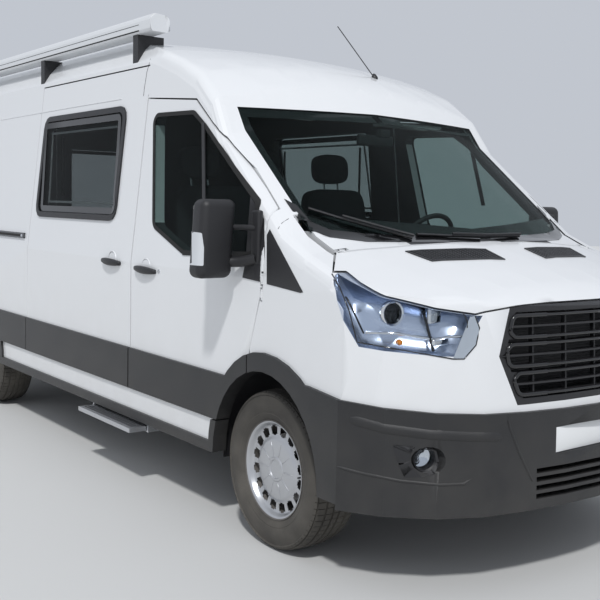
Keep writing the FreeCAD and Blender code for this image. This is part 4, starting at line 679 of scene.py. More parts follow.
# %% [markdown]
# ## Rounded blocks
# No moulded part has a knife edge. A cube scaled to its two corners and bevelled on all edges makes
# housings, lids and bars, and several such cubes can share one piece.

# %% Blocks between two corners
BLOCK_ANGLE = 40


def add_block(bm, low, high, round_by=0.003, steps=2):
    """Adds a cube between two corners to a bmesh, with its edges rounded."""
    made = bmesh.ops.create_cube(bm, size=1.0)["verts"]
    bmesh.ops.scale(bm, vec=[b - a for a, b in zip(low, high)], verts=made)
    bmesh.ops.translate(bm, vec=[(a + b) / 2 for a, b in zip(low, high)], verts=made)
    if round_by:
        edges = list({e for v in made for e in v.link_edges})
        bmesh.ops.bevel(bm, geom=edges, offset=round_by, segments=steps, profile=0.5, affect="EDGES",
                        material=-1, clamp_overlap=True)


def block(name, boxes, finish, body, round_by=0.003, steps=2):
    """One piece of rounded blocks, each given by its low and high corner."""
    bm = bmesh.new()
    for low, high in boxes:
        add_block(bm, low, high, round_by, steps)
    return piece(name, bm, finish, body, BLOCK_ANGLE)


def around(place, low, high):
    """A block's two corners, given from a place."""
    return place + Vector(low), place + Vector(high)


# %% [markdown]
# ## The other side
# A van is the same on both sides but for its doors. Each right piece is mirrored across the middle with
# its faces turned back, and it rides on the left door where the right one rides on the right door. Lines
# that follow the skin, for creases and seams, are landed point by point with more points between.

# %% Twins, and lines on the skin
def twin(obj, body):
    """Mirror image across the van's middle of a piece whose name ends in right."""
    bm = bmesh.new()
    bm.from_mesh(obj.data)
    bmesh.ops.scale(bm, vec=(1, -1, 1), verts=bm.verts)
    bmesh.ops.reverse_faces(bm, faces=bm.faces)
    finishes = [m.name for m in obj.data.materials]
    return piece(obj.name.replace("right", "left"), bm, finishes, body, 35, outward=False)


def pair(obj):
    """Twin for a piece on the van itself or on a right door."""
    body = body_of(obj)[0]
    return twin(obj, body.replace("right", "left"))


def on_skin(tree, view, points, lift=0.0, step=None):
    """Points of a drawn line landed on the skin, with more between them where step is given."""
    line = [points[0]]
    for before, after in zip(points, points[1:]):
        span = (Vector(after) - Vector(before)).length
        count = max(1, int(span / step)) if step else 1
        line += [tuple(Vector(before).lerp(Vector(after), k / count)) for k in range(1, count + 1)]
    landed = [land(tree, view, a, b, lift)[0] for a, b in line]
    return [p for p in landed if p is not None]


# %% [markdown]
# ## Windscreen
# The screen is a bent pane bonded to the body. A black ceramic border hides the glue, so it is laid just
# inside the pane, wide at the foot and narrow at the pillars.

# %% Black border of the windscreen
screen_tree = skin_tree("windscreen")
FOOT_BORDER, TOP_BORDER, SIDE_BORDER = 0.075, 0.045, 0.038
BEHIND_PANE, FILM = -0.0075, 0.001


def screen_outline(side=0.0, foot=0.0, top=0.0):
    """The pane's outline from its lower left corner, drawn in by a width at its sides, foot and top."""
    low = (0.852 - side, 1.416 + foot)
    high = (0.813 - side, 2.001 - top)
    return [(-low[0], low[1]), (0, 1.364 + foot), low, high, (0, 2.019 - top), (-high[0], high[1])]


screen_band = band(screen_outline(), screen_outline(SIDE_BORDER, FOOT_BORDER, TOP_BORDER))
laid("screen_border", "front", screen_band, screen_tree, "gloss_black", "van", 0.05, BEHIND_PANE, FILM)

# %% [markdown]
# ## Scuttle
# Between the screen's foot and the bonnet lies a black strip that hides the wipers' drive. Its edges were
# read in the picture, so it is drawn there as a band of two lines and laid on the panels below.

# %% Black scuttle between the screen and the bonnet
SCUTTLE_FOOT_PX = [(284, 199), (288, 205), (297, 218), (309, 229.5), (330, 237.5), (367, 242),
                   (421, 242.5)]
SCUTTLE_TOP_PX = [(296, 205), (311, 222), (330, 230), (367, 234), (421, 236), (480, 236), (480, 242)]
STEP_PX = 12
scuttle_tree = skin_tree("windscreen", "cowl", "body_right", "wing_right")
scuttle_band = band(SCUTTLE_FOOT_PX, SCUTTLE_TOP_PX)[:-1]
pair(laid("scuttle_right", "photo", scuttle_band, scuttle_tree, "gloss_black", "van", STEP_PX, 0.0012,
          FILM))

# %% [markdown]
# ## Mirror and sun visors
# The inside mirror hangs from a pad that is glued to the pane, and two visors fold up under the roof.
# They only show as shapes behind the glass, so rounded blocks are enough.

# %% Interior mirror on its pad, and the visors
mirror_at = land(screen_tree, "front", 0, 1.93, -0.008)[0]
pad = around(mirror_at, (-0.05, -0.035, -0.03), (-0.012, 0.035, 0.01))
block("screen_pad", [pad], "dash_plastic", "van", 0.006)
mirror_box = around(mirror_at, (-0.115, -0.12, -0.075), (-0.08, 0.12, -0.015))
block("inside_mirror", [mirror_box], "dash_plastic", "van", 0.012, 3)
visors = [((1.20, side - 0.2, 1.985), (1.36, side + 0.2, 2.003)) for side in (-0.42, 0.42)]
block("sun_visors", visors, "case_paint", "van", 0.008, 3)

# %% [markdown]
# ## Wipers
# Two arms lie parked along the foot of the screen, each with a flat rubber blade under it. They could be
# cut as blocks, but the screen is bent, so both are bars along a line that was drawn in the picture and
# landed on the glass.

# %% Wipers, drawn in the photographer's view
WIPER_ARM_PX = [(308, 210), (340, 220), (372, 229), (412, 240)]
WIPER_FAR_PX = [(416, 236), (450, 238), (485, 239), (518, 238)]
ARM_OVER_BLADE = Vector((0.012, 0, 0.012))
front_tree = skin_tree("windscreen", "cowl", "bonnet")
for number, line in enumerate((WIPER_ARM_PX, WIPER_FAR_PX)):
    blade = on_skin(front_tree, "photo", line, 0.010, STEP_PX)
    tube("wiper_blade_" + str(number), blade, 0.009, "black_plastic", "van", 8, 0.7)
    arm = [p + ARM_OVER_BLADE for p in blade[len(blade) // 3:]]
    tube("wiper_arm_" + str(number), arm, 0.006, "black_plastic", "van", 8)

# %% [markdown]
# ## Antenna
# A short mast leans back over the cab roof from a rubber foot. The mast is a thin bar and the foot a
# turned shape that stands where a ray from above meets the roof.

# %% Antenna over the cab, with its foot on the roof
roof_tree = skin_tree("roof_front", "roof")
ANTENNA_AT, ANTENNA_LEAN, ANTENNA_LEN = (1.15, 0.27), Vector((-0.72, 0, 0.69)), 0.49
ANTENNA_FOOT = [(-0.006, 0), (-0.006, 0.020), (0.004, 0.019), (0.018, 0.012), (0.026, 0.005), (0.028, 0)]
foot = land(roof_tree, "top", *ANTENNA_AT)[0]
stalk = ANTENNA_LEAN.normalized()
mast = [foot, foot + stalk * 0.06, foot + stalk * ANTENNA_LEN]
antenna = tube("antenna_mast", mast, 0.003, "black_plastic", "van", 10)
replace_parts(antenna, "wipers_antenna")
lathe("antenna_foot", ANTENNA_FOOT, foot, (-0.3, 0, 1), "black_plastic", "van", 24)

# %% [markdown]
# ## Headlamps
# A headlamp is a clear shell over a bright bowl with its parts hung inside. The CAD solid gives the block
# that the lamp fills: its outer faces become the shell, and its other faces become the bowl behind.
# Inside sit a round projector in a chrome ring, a square reflector, a slanted dark divider, an amber bulb
# and a low unit.

# %% Shell and bowl from the lamp's own solid
SHELL_T, BOWL_T = 0.003, 0.0015
AHEAD_LEAST, ASIDE_LEAST = 0.12, 0.05


def lamp_half(side, keep_outside):
    """Faces of the right or left lamp that look outward, or those that don't."""
    bm = node_bmesh("headlamps")
    bm.normal_update()
    drop = []
    for f in bm.faces:
        middle = f.calc_center_median()
        outside = f.normal.x > AHEAD_LEAST and f.normal.y * side > ASIDE_LEAST
        if middle.y * side < 0 or outside != keep_outside:
            drop.append(f)
    bmesh.ops.delete(bm, geom=drop, context="FACES")
    return bm


lens_bm = lamp_half(-1, True)
bmesh.ops.solidify(lens_bm, geom=lens_bm.faces[:], thickness=SHELL_T)
lamp_lens = piece("lamp_lens_right", lens_bm, "lamp_lens", "van", 40)
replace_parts(lamp_lens, "headlamps")
pair(lamp_lens)
# The bowl's finish carries a blue tint of painted sky reflection over its bright metal.
bowl_bm = lamp_half(-1, False)
bmesh.ops.solidify(bowl_bm, geom=bowl_bm.faces[:], thickness=BOWL_T)
pair(piece("lamp_bowl_right", bowl_bm, "lamp_housing", "van", 30))

# %% Where the parts sit behind the shell
lamp_tree = skin_tree("headlamps")
PROJECTOR_PX, SQUARE_PX, LOW_PX, AMBER_PX = (396, 314), (440, 317), (446, 343), (403, 343)


def behind_shell(pixel, depth):
    """Place at a depth straight behind the point of the shell that a pixel shows."""
    return land(lamp_tree, "photo", *pixel)[0] - Vector((depth, 0, 0))


eye = behind_shell(PROJECTOR_PX, 0.022)
square = behind_shell(SQUARE_PX, 0.024)
low = behind_shell(LOW_PX, 0.024)
bulb = behind_shell(AMBER_PX, 0.020)
print("projector at", [round(c, 3) for c in eye])

# %% [markdown]
# ## Projector and reflectors
# The projector is a thick lens in a chrome ring, in front of a dark back. All three are turned about one
# beam that looks a little outward. The reflectors beside and below it are chromed blocks, one with a lens
# of its own.

# %% Projector, reflectors and bulb
BEAM = (1, -0.12, 0)
RING = [(-0.020, 0.047), (0.004, 0.050), (0.010, 0.047), (0.006, 0.041), (-0.020, 0.036)]
EYE_LENS = [(-0.018, 0), (-0.018, 0.036), (0.0, 0.034), (0.010, 0.025), (0.015, 0.012), (0.016, 0)]
EYE_BACK = [(-0.022, 0), (-0.022, 0.036), (-0.020, 0.036), (-0.019, 0)]
BULB = [(-0.016, 0), (-0.014, 0.009), (0, 0.012), (0.010, 0.009), (0.014, 0)]
pair(lathe("projector_ring_right", RING, eye, BEAM, "chrome", "van", 48))
pair(lathe("projector_lens_right", EYE_LENS, eye, BEAM, "lamp_lens", "van", 40))
pair(lathe("projector_back_right", EYE_BACK, eye, BEAM, "gloss_black", "van", 32))
square_box = around(square, (-0.020, -0.034, -0.032), (0.0, 0.034, 0.034))
pair(block("square_reflector_right", [square_box], "chrome", "van", 0.010, 3))
square_pane = around(square, (0.0, -0.024, -0.022), (0.006, 0.024, 0.024))
pair(block("square_lens_right", [square_pane], "lamp_lens", "van", 0.004, 2))
low_box = around(low, (-0.016, -0.046, -0.014), (0.002, 0.040, 0.016))
pair(block("low_reflector_right", [low_box], "chrome", "van", 0.008, 3))
pair(lathe("amber_bulb_right", BULB, bulb, BEAM, "amber_lens", "van", 20))

# %% [markdown]
# ## Lines inside and round the lamp
# A dark slanted divider, a bright ledge and a fin part the lamp's inside, and a dark joint runs round the
# shell. The outer corner of the lamp shows as a bright field under a lens of its own.

# %% Divider, ledge and fin inside
INNER_LINES = [
    ("lamp_divider_right", [(425, 297), (427, 316), (436, 352)], 0.006, "gloss_black"),
    ("lamp_ledge_right", [(368, 333), (400, 334), (437, 340), (452, 337), (470, 337)], 0.006, "chrome"),
    ("lamp_fin_right", [(348, 297), (354, 308), (366, 334)], 0.004, "gloss_black"),
]
INNER_DEPTH = Vector((0.014, 0, 0))
for name, line, radius, finish in INNER_LINES:
    inside = [p - INNER_DEPTH for p in on_skin(lamp_tree, "photo", line, 0, 10)]
    pair(tube(name, inside, radius, finish, "van", 8))

# %% Dark rim round the shell, and its outer corner
LAMP_EDGE_PX = [(332, 274), (340, 288), (349, 310), (357, 342), (393, 348.5), (453, 359), (464, 359),
                (476, 345), (479.5, 328), (475, 316)]
LAMP_CORNER_PX = [(470, 317), (475, 316), (479.5, 328), (476, 345), (464, 359), (453, 359)]
CORNER_ARC_PX = [(463.5, 314), (466, 318), (467.5, 323), (467, 328)]
face_tree = skin_tree("headlamps", "front_panel", "wing_right", "bumper_front")
rim_line = on_skin(face_tree, "photo", LAMP_EDGE_PX, 0.0005, 8)
pair(tube("lamp_rim_right", rim_line, 0.0028, "gloss_black", "van", 8))
pair(laid("lamp_corner_right", "photo", [LAMP_CORNER_PX], face_tree, "lamp_bright", "van", 8, 0.0004,
          FILM))
arc_line = on_skin(face_tree, "photo", CORNER_ARC_PX, 0.001, 2)
pair(tube("lamp_corner_arc_right", arc_line, 0.0025, "gloss_black", "van", 8))
pair(laid("lamp_corner_lens_right", "photo", [LAMP_CORNER_PX], face_tree, "lamp_lens", "van", 8, 0.0018,
          FILM))

# %% [markdown]
# ## Grille
# Three long closed loops, each round its own slat, in a thick frame. The form is whole in the solid, so
# its copy only needs softened edges to catch the light. Behind it, the radiator and its fins are near
# black: partly their own dark finish, partly painted shade of the deep space behind the grille.

# %% Grille with softened edges
grille = smooth_copy("grille", "black_plastic", "van", 25)
soft_edge = grille.modifiers.new("soft_edge", "BEVEL")
soft_edge.width = 0.0018
soft_edge.segments = 2
soft_edge.limit_method = "ANGLE"
soft_edge.angle_limit = math.radians(50)

# %% Radiator and its fins, near black partly as painted shade behind the grille
FINS, FIN_PITCH, FIN_T = 43, 0.012, 0.003
# Near black partly as the radiator's own finish and partly as painted shade of the space behind the
# grille.
block("radiator", [((2.745, -0.42, 0.56), (2.775, 0.42, 1.10))], "chassis_black", "van", 0.004)
fin_feet = [0.575 + i * FIN_PITCH for i in range(FINS)]
fins = [((2.775, -0.40, z), (2.779, 0.40, z + FIN_T)) for z in fin_feet]
block("radiator_fins_painted_shade", fins, "chassis_black", "van", 0)

# %% [markdown]
# ## Rims of the loops
# Each loop of the grille has a glossy rounded rim, thicker round its ends. The opening narrows above and
# below its middle, so the half width at any height follows from three measures.

# %% Glossy rims of the three loops
grille_tree = skin_tree("grille")
LOOP_LEVELS = [(0.797, 0.883), (0.911, 0.998), (1.026, 1.112)]
LOOP_INNER_Y, LOOP_END_R = -0.30, 0.030
GRILLE_MID_Z, GRILLE_HALF_Z, FRAME_WIDTH = 0.9545, 0.1975, 0.024
GRILLE_MID_HALF, GRILLE_TOP_HALF, GRILLE_FOOT_HALF = 0.530, 0.476, 0.447


def loop_half(z):
    """Half width of the grille's opening at a height, less the frame."""
    end_half = GRILLE_TOP_HALF if z > GRILLE_MID_Z else GRILLE_FOOT_HALF
    share = abs(z - GRILLE_MID_Z) / GRILLE_HALF_Z
    return GRILLE_MID_HALF + (end_half - GRILLE_MID_HALF) * share - FRAME_WIDTH


for number, (low, high) in enumerate(LOOP_LEVELS):
    corners = [(LOOP_INNER_Y, high), (-loop_half(high), high), (-loop_half(low), low), (LOOP_INNER_Y, low)]
    end = rounded(corners, [0, LOOP_END_R, LOOP_END_R, 0], 5)
    path = on_skin(grille_tree, "front", end, 0.001, 0.03)
    pair(tube("loop_end_" + str(number) + "_right", path, 0.0095, "gloss_black", "van", 10))
    for edge, z in (("high", high), ("low", low)):
        path = on_skin(grille_tree, "front", [(LOOP_INNER_Y, z), (0.0, z)], 0.001, 0.03)
        pair(tube("loop_" + edge + "_" + str(number) + "_right", path, 0.0065, "gloss_black", "van", 10))

# %% [markdown]
# ## Bonnet vents
# Two black grids let air into the heater, near the bonnet's rear edge. A grid is a dark bed with a raised
# rim and thin bars across it.

# %% Bed and rim laid on the bonnet
bonnet_tree = skin_tree("bonnet")
VENT = [(2.364, -0.554), (2.430, -0.139), (2.545, -0.145), (2.480, -0.519)]
vent_bed = [inset(VENT, 0.002)]
rim_band = band(inset(VENT, -0.006), inset(VENT, 0.004))
pair(laid("vent_bed_right", "top", vent_bed, bonnet_tree, "gloss_black", "bonnet", 0.03, 0.0005, FILM))
pair(laid("vent_rim_right", "top", rim_band, bonnet_tree, "black_plastic", "bonnet", 0.03, 0.0005, 0.004))

# %% Bars across the vent, both ways
LONG_BARS, CROSS_BARS = 9, 16
LONG_HALF, CROSS_HALF = 0.003, 0.002
bars = []
for i in range(1, LONG_BARS):
    start = Vector(VENT[0]).lerp(Vector(VENT[3]), i / LONG_BARS)
    end = Vector(VENT[1]).lerp(Vector(VENT[2]), i / LONG_BARS)
    bars.append([(start.x - LONG_HALF, start.y), (end.x - LONG_HALF, end.y),
                 (end.x + LONG_HALF, end.y), (start.x + LONG_HALF, start.y)])
for i in range(1, CROSS_BARS):
    start = Vector(VENT[0]).lerp(Vector(VENT[1]), i / CROSS_BARS)
    end = Vector(VENT[3]).lerp(Vector(VENT[2]), i / CROSS_BARS)
    bars.append([(start.x, start.y - CROSS_HALF), (start.x, start.y + CROSS_HALF),
                 (end.x, end.y + CROSS_HALF), (end.x, end.y - CROSS_HALF)])
pair(laid("vent_bars_right", "top", bars, bonnet_tree, "black_plastic", "bonnet", 0.05, 0.001, 0.003))

# %% [markdown]
# ## Fog lamps
# A round clear lens sits before a chrome dish, in a black cup in the bumper. All three are turned about
# one axis that looks a little outward.

# %% Lens, reflector and cup
FOG_Y, FOG_Z, FOG_AXIS = 0.80, 0.56, (1, -0.35, 0)
FOG_LENS = [(-0.030, 0), (-0.030, 0.040), (-0.012, 0.040), (-0.004, 0.028), (0.0, 0.0)]
FOG_DISH = [(-0.050, 0), (-0.046, 0.020), (-0.034, 0.038), (-0.034, 0.041), (-0.052, 0.024), (-0.056, 0)]
FOG_CUP = [(-0.075, 0.041), (-0.006, 0.043), (0.0, 0.050), (-0.012, 0.052), (-0.075, 0.052)]
bumper_tree = skin_tree("bumper_front", "fog_lamps")
fog_at = land(bumper_tree, "front", -FOG_Y, FOG_Z)[0]
lens_at = fog_at - Vector((0.012, 0, 0))
cup_at = fog_at - Vector((0.006, 0, 0))
fog = lathe("fog_lens_right", FOG_LENS, lens_at, FOG_AXIS, "lamp_lens", "van", 40)
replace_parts(fog, "fog_lamps")
pair(fog)
pair(lathe("fog_reflector_right", FOG_DISH, lens_at, FOG_AXIS, "chrome", "van", 40))
pair(lathe("fog_cup_right", FOG_CUP, cup_at, FOG_AXIS, "black_plastic", "van", 40))

# %% [markdown]
# ## Recess and creases of the bumper
# The bumper is one grained moulding. Round each fog lamp, a black band with soft corners is painted
# shade of the hollow it sits in, and three soft ridges shape the skin. A thick bar sunk in the skin
# leaves just its rounded back proud, as a pressed ridge.

# %% Painted shade: a black band in the recess round the fog lamp
FOG_PX, FOG_RIM_PX, FOG_RIM_SHARE = (423, 459), 13.5, 0.9
RECESS_PX = [(392.6, 444.8), (414, 447), (436, 449.9), (439.3, 462.7), (434.7, 474), (422, 477.4),
             (404, 476.7), (399, 465)]
recess = rounded(RECESS_PX, 1.5, 3)
mouth = []
for u, v in recess:
    reach = min(FOG_RIM_PX, FOG_RIM_SHARE * math.dist((u, v), FOG_PX))
    way = (Vector((u, v)) - Vector(FOG_PX)).normalized() * reach
    mouth.append(tuple(Vector(FOG_PX) + way))
# A raised black band laid over the bumper: painted shade for the hollow round the lamp.
pair(laid("fog_recess_right", "photo", band(recess, mouth), bumper_tree, "black_plastic", "van", 20,
          0.0005, 0.0015))

# %% Lip, crease and ridge
BUMPER_LINES = [
    ("bumper_lip_right", [(338, 467), (360, 473), (400, 481), (440, 485), (464, 484), (474, 478)], 0.0035,
     0.0075),
    ("bumper_crease_right", [(506, 410), (510, 428), (519, 452), (532, 480), (541, 486)], 0.0035, 0.0055),
    ("bumper_ridge_right", [(352, 420), (385, 429), (430, 435), (470, 437), (503, 437)], 0.006, 0.036),
]
for name, line, proud, radius in BUMPER_LINES:
    path = on_skin(bumper_tree, "photo", line, proud - radius, 6)
    path[0] -= Vector((proud + 0.001, 0, 0))
    path[-1] -= Vector((proud + 0.001, 0, 0))
    pair(tube(name, path, radius, "grey_plastic", "van", 24))

# %% [markdown]
# ## Plate and lower intake
# The number plate is a blank white sheet with rounded corners in a black frame. Below it, short ribs
# stand before a black plate of painted shade, for the dark hollow of the intake. Both are blocks, placed
# from the solid of the plate and by measures of the bumper's opening.

# %% Plate on its carrier
PLATE_FRAME, PLATE_GAP = 0.008, 0.0005
PLATE_LOW, PLATE_HIGH = Vector((0.0015, 0.004, 0.004)), Vector((0, 0.004, 0.004))
low, high = (Vector(corner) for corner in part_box("plate_front"))
plate = block("blank_plate", [(low + PLATE_LOW, high - PLATE_HIGH)], "plate_white", "van", 0.0015)
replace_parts(plate, "plate_front")
edge_x = high.x - PLATE_FRAME - PLATE_GAP
corners = rectangle((low.y, low.z), (high.y, high.z))
frame_line = [(edge_x, y, z) for y, z in corners + corners[:1]]
tube("plate_frame", frame_line, PLATE_FRAME, "chassis_black", "van", 12)

# %% Lower intake: a black plate of painted shade behind the ribs
INTAKE_HALF, INTAKE_FOOT, INTAKE_HEAD = 0.36, 0.372, 0.496
RIB_PITCH, RIB_HALF, RIBS_EACH_SIDE = 0.04, 0.003, 8
# A black plate as painted shade: the hollow behind the ribs is dark because light does not reach it.
shade_box = ((2.848, -INTAKE_HALF - 0.02, INTAKE_FOOT - 0.01),
            (2.856, INTAKE_HALF + 0.02, INTAKE_HEAD + 0.01))
block("intake_back", [shade_box], "chassis_black", "van", 0.002)
rib_places = [i * RIB_PITCH for i in range(-RIBS_EACH_SIDE, RIBS_EACH_SIDE + 1)]
ribs = [((2.858, y - RIB_HALF, INTAKE_FOOT), (2.866, y + RIB_HALF, INTAKE_HEAD)) for y in rib_places]
block("intake_mesh", ribs, "black_plastic", "van", 0)

# %% [markdown]
# ## Tyres
# A tyre is a turned section with a bulging sidewall. Its tread starts as plain rings of faces, and each
# face becomes a raised block with an inset, which leaves the grooves between the blocks. Sizes are
# measured from the wheel's own centre plane, outward positive.

# %% Tyre with raised tread blocks
TYRE_R, TYRE_HALF = 0.3555, 0.1165
BEAD_R, BULGE_R = 0.208, 0.285
GROOVE_DEEP, BLOCK_GAP, BLOCKS_ROUND = 0.0075, 0.0022, 72
BASE_R, TREAD_DROP = TYRE_R - GROOVE_DEEP, 0.0077
RIBS = [-0.098, -0.062, -0.053, -0.021, -0.012, 0.012, 0.021, 0.053, 0.062, 0.098]
GROOVES = [(-0.062, -0.053), (-0.021, -0.012), (0.012, 0.021), (0.053, 0.062)]
SIDEWALL = [(TYRE_HALF - 0.009, BASE_R - 0.019), (TYRE_HALF - 0.004, BASE_R - 0.036),
            (TYRE_HALF, BULGE_R + 0.010), (TYRE_HALF, BULGE_R - 0.010), (TYRE_HALF - 0.006, 0.258),
            (TYRE_HALF - 0.0075, 0.254), (TYRE_HALF - 0.0065, 0.251), (TYRE_HALF - 0.014, 0.232),
            (TYRE_HALF - 0.020, 0.222), (TYRE_HALF - 0.028, BEAD_R)]


def tyre_form():
    """Turned tyre whose tread faces, all but those of the grooves, are raised into blocks."""
    tread = [(y, BASE_R - TREAD_DROP * abs(y / 0.1) ** 4) for y in RIBS]
    profile = [(-along, radius) for along, radius in SIDEWALL[::-1]] + tread + SIDEWALL
    bm = spun(profile, BLOCKS_ROUND)
    bmesh.ops.recalc_face_normals(bm, faces=bm.faces)
    blocks = []
    for f in bm.faces:
        middle = f.calc_center_median()
        radius = math.hypot(middle.x, middle.y)
        in_groove = any(low < middle.z < high for low, high in GROOVES)
        if radius > BASE_R - 0.024 and not in_groove:
            blocks.append(f)
    bmesh.ops.inset_individual(bm, faces=blocks, thickness=BLOCK_GAP, depth=GROOVE_DEEP * 0.97)
    print("tread blocks:", len(blocks))
    return bm


# %% [markdown]
# ## Wheel trims
# The trim is a pressed silver dish with sixteen slots. The slots could be cut with a boolean, but taking
# their faces out of a turned sheet, before the sheet gets its thickness, is quick and leaves clean edges.

# %% Trim with its slots
SLOTS, STEPS_PER_SLOT = 16, 6
SLOT_FROM, SLOT_TO, SLOT_END = 0.150, 0.194, 0.005
TRIM_OUT, TRIM_T = 0.083, 0.003
TRIM = [(TRIM_OUT - 0.002, 0), (TRIM_OUT - 0.002, 0.040), (TRIM_OUT + 0.003, 0.044),
        (TRIM_OUT + 0.003, 0.052), (TRIM_OUT - 0.001, 0.056), (TRIM_OUT - 0.001, 0.128),
        (TRIM_OUT - 0.004, 0.136), (TRIM_OUT - 0.010, 0.143), (TRIM_OUT - 0.013, SLOT_FROM),
        (TRIM_OUT - 0.014, SLOT_FROM + SLOT_END), (TRIM_OUT - 0.014, SLOT_TO - SLOT_END),
        (TRIM_OUT - 0.012, SLOT_TO), (TRIM_OUT - 0.004, 0.199), (TRIM_OUT + 0.006, 0.204),
        (TRIM_OUT + 0.013, 0.209), (TRIM_OUT + 0.015, 0.214), (TRIM_OUT + 0.012, 0.220)]


def trim_form():
    """Turned sheet from the hub to the lip, with its slots taken out and then given a thickness."""
    bm = spun(TRIM, SLOTS * STEPS_PER_SLOT)
    step = 2 * math.pi / (SLOTS * STEPS_PER_SLOT)
    gone = []
    for f in bm.faces:
        middle = f.calc_center_median()
        radius = math.hypot(middle.x, middle.y)
        place = int(round(math.atan2(middle.y, middle.x) / step - 0.5)) % STEPS_PER_SLOT
        in_band = SLOT_FROM < radius < SLOT_TO
        in_middle = SLOT_FROM + SLOT_END < radius < SLOT_TO - SLOT_END
        if (in_middle and place in (1, 2, 3, 4)) or (in_band and place in (2, 3)):
            gone.append(f)
    bmesh.ops.delete(bm, geom=gone, context="FACES")
    bmesh.ops.recalc_face_normals(bm, faces=bm.faces)
    bmesh.ops.solidify(bm, geom=bm.faces[:], thickness=TRIM_T)
    print("slot faces taken out:", len(gone))
    return bm


# %% Raised lines on the trim
LINES = 10
LINE_LOW = (0.060, -0.0018, TRIM_OUT - 0.003)
LINE_HIGH = (0.126, 0.0018, TRIM_OUT + 0.0008)


def spoke_lines():
    """Fine raised lines on the flat of the trim."""
    bm = bmesh.new()
    for i in range(LINES):
        first = len(bm.verts)
        add_block(bm, LINE_LOW, LINE_HIGH, 0.0008, 1)
        bm.verts.ensure_lookup_table()
        turn = Matrix.Rotation(2 * math.pi * i / LINES, 3, "Z")
        bmesh.ops.rotate(bm, verts=bm.verts[first:], matrix=turn)
    return bm


# %% [markdown]
# ## Whole wheels
# Behind the trim stand the steel barrel, a brake disc, the hub's bell and a valve, all turned. One
# function builds a wheel at an axle's end, and every piece rides on that wheel's body, so that it rolls
# and steers.

# %% Sections of barrel, disc, bell and valve
BARREL = [(0.098, 0.216), (0.101, 0.221), (0.094, 0.2225), (0.088, 0.214), (0.060, 0.205), (0.020, 0.188),
          (-0.040, 0.190), (-0.088, 0.214), (-0.094, 0.2225), (-0.101, 0.221), (-0.098, 0.216),
          (-0.086, 0.208), (-0.040, 0.182), (0.020, 0.180), (0.060, 0.197), (0.086, 0.208)]
DISC = [(-0.012, 0.070), (-0.012, 0.150), (0.014, 0.150), (0.014, 0.070)]
BELL = [(0.014, 0), (0.014, 0.078), (0.060, 0.074), (0.066, 0.070), (0.066, 0)]
VALVE = [(TRIM_OUT - 0.03, 0), (TRIM_OUT - 0.03, 0.004), (TRIM_OUT - 0.002, 0.004), (TRIM_OUT, 0.003),
         (TRIM_OUT, 0)]
VALVE_FROM_AXLE = 0.166

# %% Four wheels
AXLES = {"front": (1.9675, 0.866), "rear": (-1.7825, 0.8715)}
AXLE_Z = 0.356


def wheel(place, hand):
    """All pieces of one wheel, on the body of that wheel."""
    axle, side = place + "_" + hand, -1 if hand == "right" else 1
    centre = (AXLES[place][0], side * AXLES[place][1], AXLE_Z)
    outward = (0, side, 0)
    body = "wheel_" + axle
    tyre = tyre_form()
    set_along(tyre, centre, outward)
    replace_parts(piece("tread_" + axle, tyre, "tyre_rubber", body, 32), "tyre_" + axle)
    trim = trim_form()
    set_along(trim, centre, outward)
    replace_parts(piece("trim_" + axle, trim, "silver_paint", body, 40), "rim_" + axle)
    lines = spoke_lines()
    set_along(lines, centre, outward)
    piece("trim_lines_" + axle, lines, "silver_paint", body, 40)
    lathe("barrel_" + axle, BARREL, centre, outward, "cast_iron", body, 72)
    lathe("brake_disc_" + axle, DISC, centre, outward, "steel", body, 64)
    lathe("hub_bell_" + axle, BELL, centre, outward, "cast_iron", body, 48)
    valve_at = Vector(centre) + Vector((VALVE_FROM_AXLE, 0, 0))
    lathe("valve_" + axle, VALVE, valve_at, outward, "black_plastic", body, 12)


for place in AXLES:
    for hand in ("right", "left"):
        wheel(place, hand)

# %% [markdown]
# ## Side windows
# The door window has a broad black rubber surround and a slim upright bar in front of a small fixed pane.
# Its outline is drawn once in the side view with round corners, then moved out and in to make the
# surround.

# %% Door window surround and its upright
door_tree = skin_tree("door_front_right", "door_glass_right")
WINDOW = [(0.762, 1.985), (1.180, 1.975), (1.310, 1.898), (1.590, 1.700), (1.830, 1.535), (1.838, 1.310),
          (1.227, 1.284), (0.883, 1.407)]
WINDOW_RADII = [0.040, 0.060, 0.090, 0.200, 0.025, 0.025, 0.120, 0.060]
UPRIGHT_PX = [(202.6, 122.5), (205.4, 122.5), (206.2, 199), (203.2, 199)]
window = rounded(WINDOW, WINDOW_RADII, 6)
pair(laid("window_seal_right", "right", band(inset(window, -0.014), inset(window, 0.008)), door_tree,
          "seal_rubber", "door_front_right", 0.2, 0.0008, 0.003))
pair(laid("window_upright_right", "photo", [UPRIGHT_PX], door_tree, "black_plastic", "door_front_right", 6,
          0.0005, 0.006))

# %% [markdown]
# ## Black corner at the mirror
# Where the belt line meets the windscreen pillar, a black triangle closes the corner. One part of it is
# fixed to the body and one to the door, so that the door can open, and the two meet at the door's joint.
# A rubber lip runs along the window's lower edge, where the pane slides down into the door.

# %% Corner pieces and the belt's rubber lip
corner_tree = skin_tree("wing_right", "body_right", "cowl", "windscreen")
CORNER_PX = [(267, 223.5), (303.2, 292.3), (300.5, 292.9), (267, 284)]
DOOR_CORNER_PX = [(251, 196.5), (264.5, 219), (265, 283), (243, 277.6), (246, 262)]
pair(laid("pillar_corner_right", "photo", [CORNER_PX], corner_tree, "black_plastic", "van", 6,
          0.0004, 0.0015))
pair(laid("door_corner_right", "photo", [DOOR_CORNER_PX], door_tree, "black_plastic", "door_front_right",
          6, 0.0006, 0.003))
BELT = [(1.22, 1.268), (1.86, 1.290), (1.86, 1.304), (1.22, 1.282)]
belt_tree = skin_tree("door_front_right")
pair(laid("belt_seal_right", "right", [BELT], belt_tree, "seal_rubber", "door_front_right", 0.05, 0.0005,
          0.004))

# %% [markdown]
# ## Door handles
# Each handle is a black bar held off the door by its two feet, over a shallow dish pressed in the skin.
# The dish shows as a soft round shadow, so it gets a thin ring of its own under the bar.

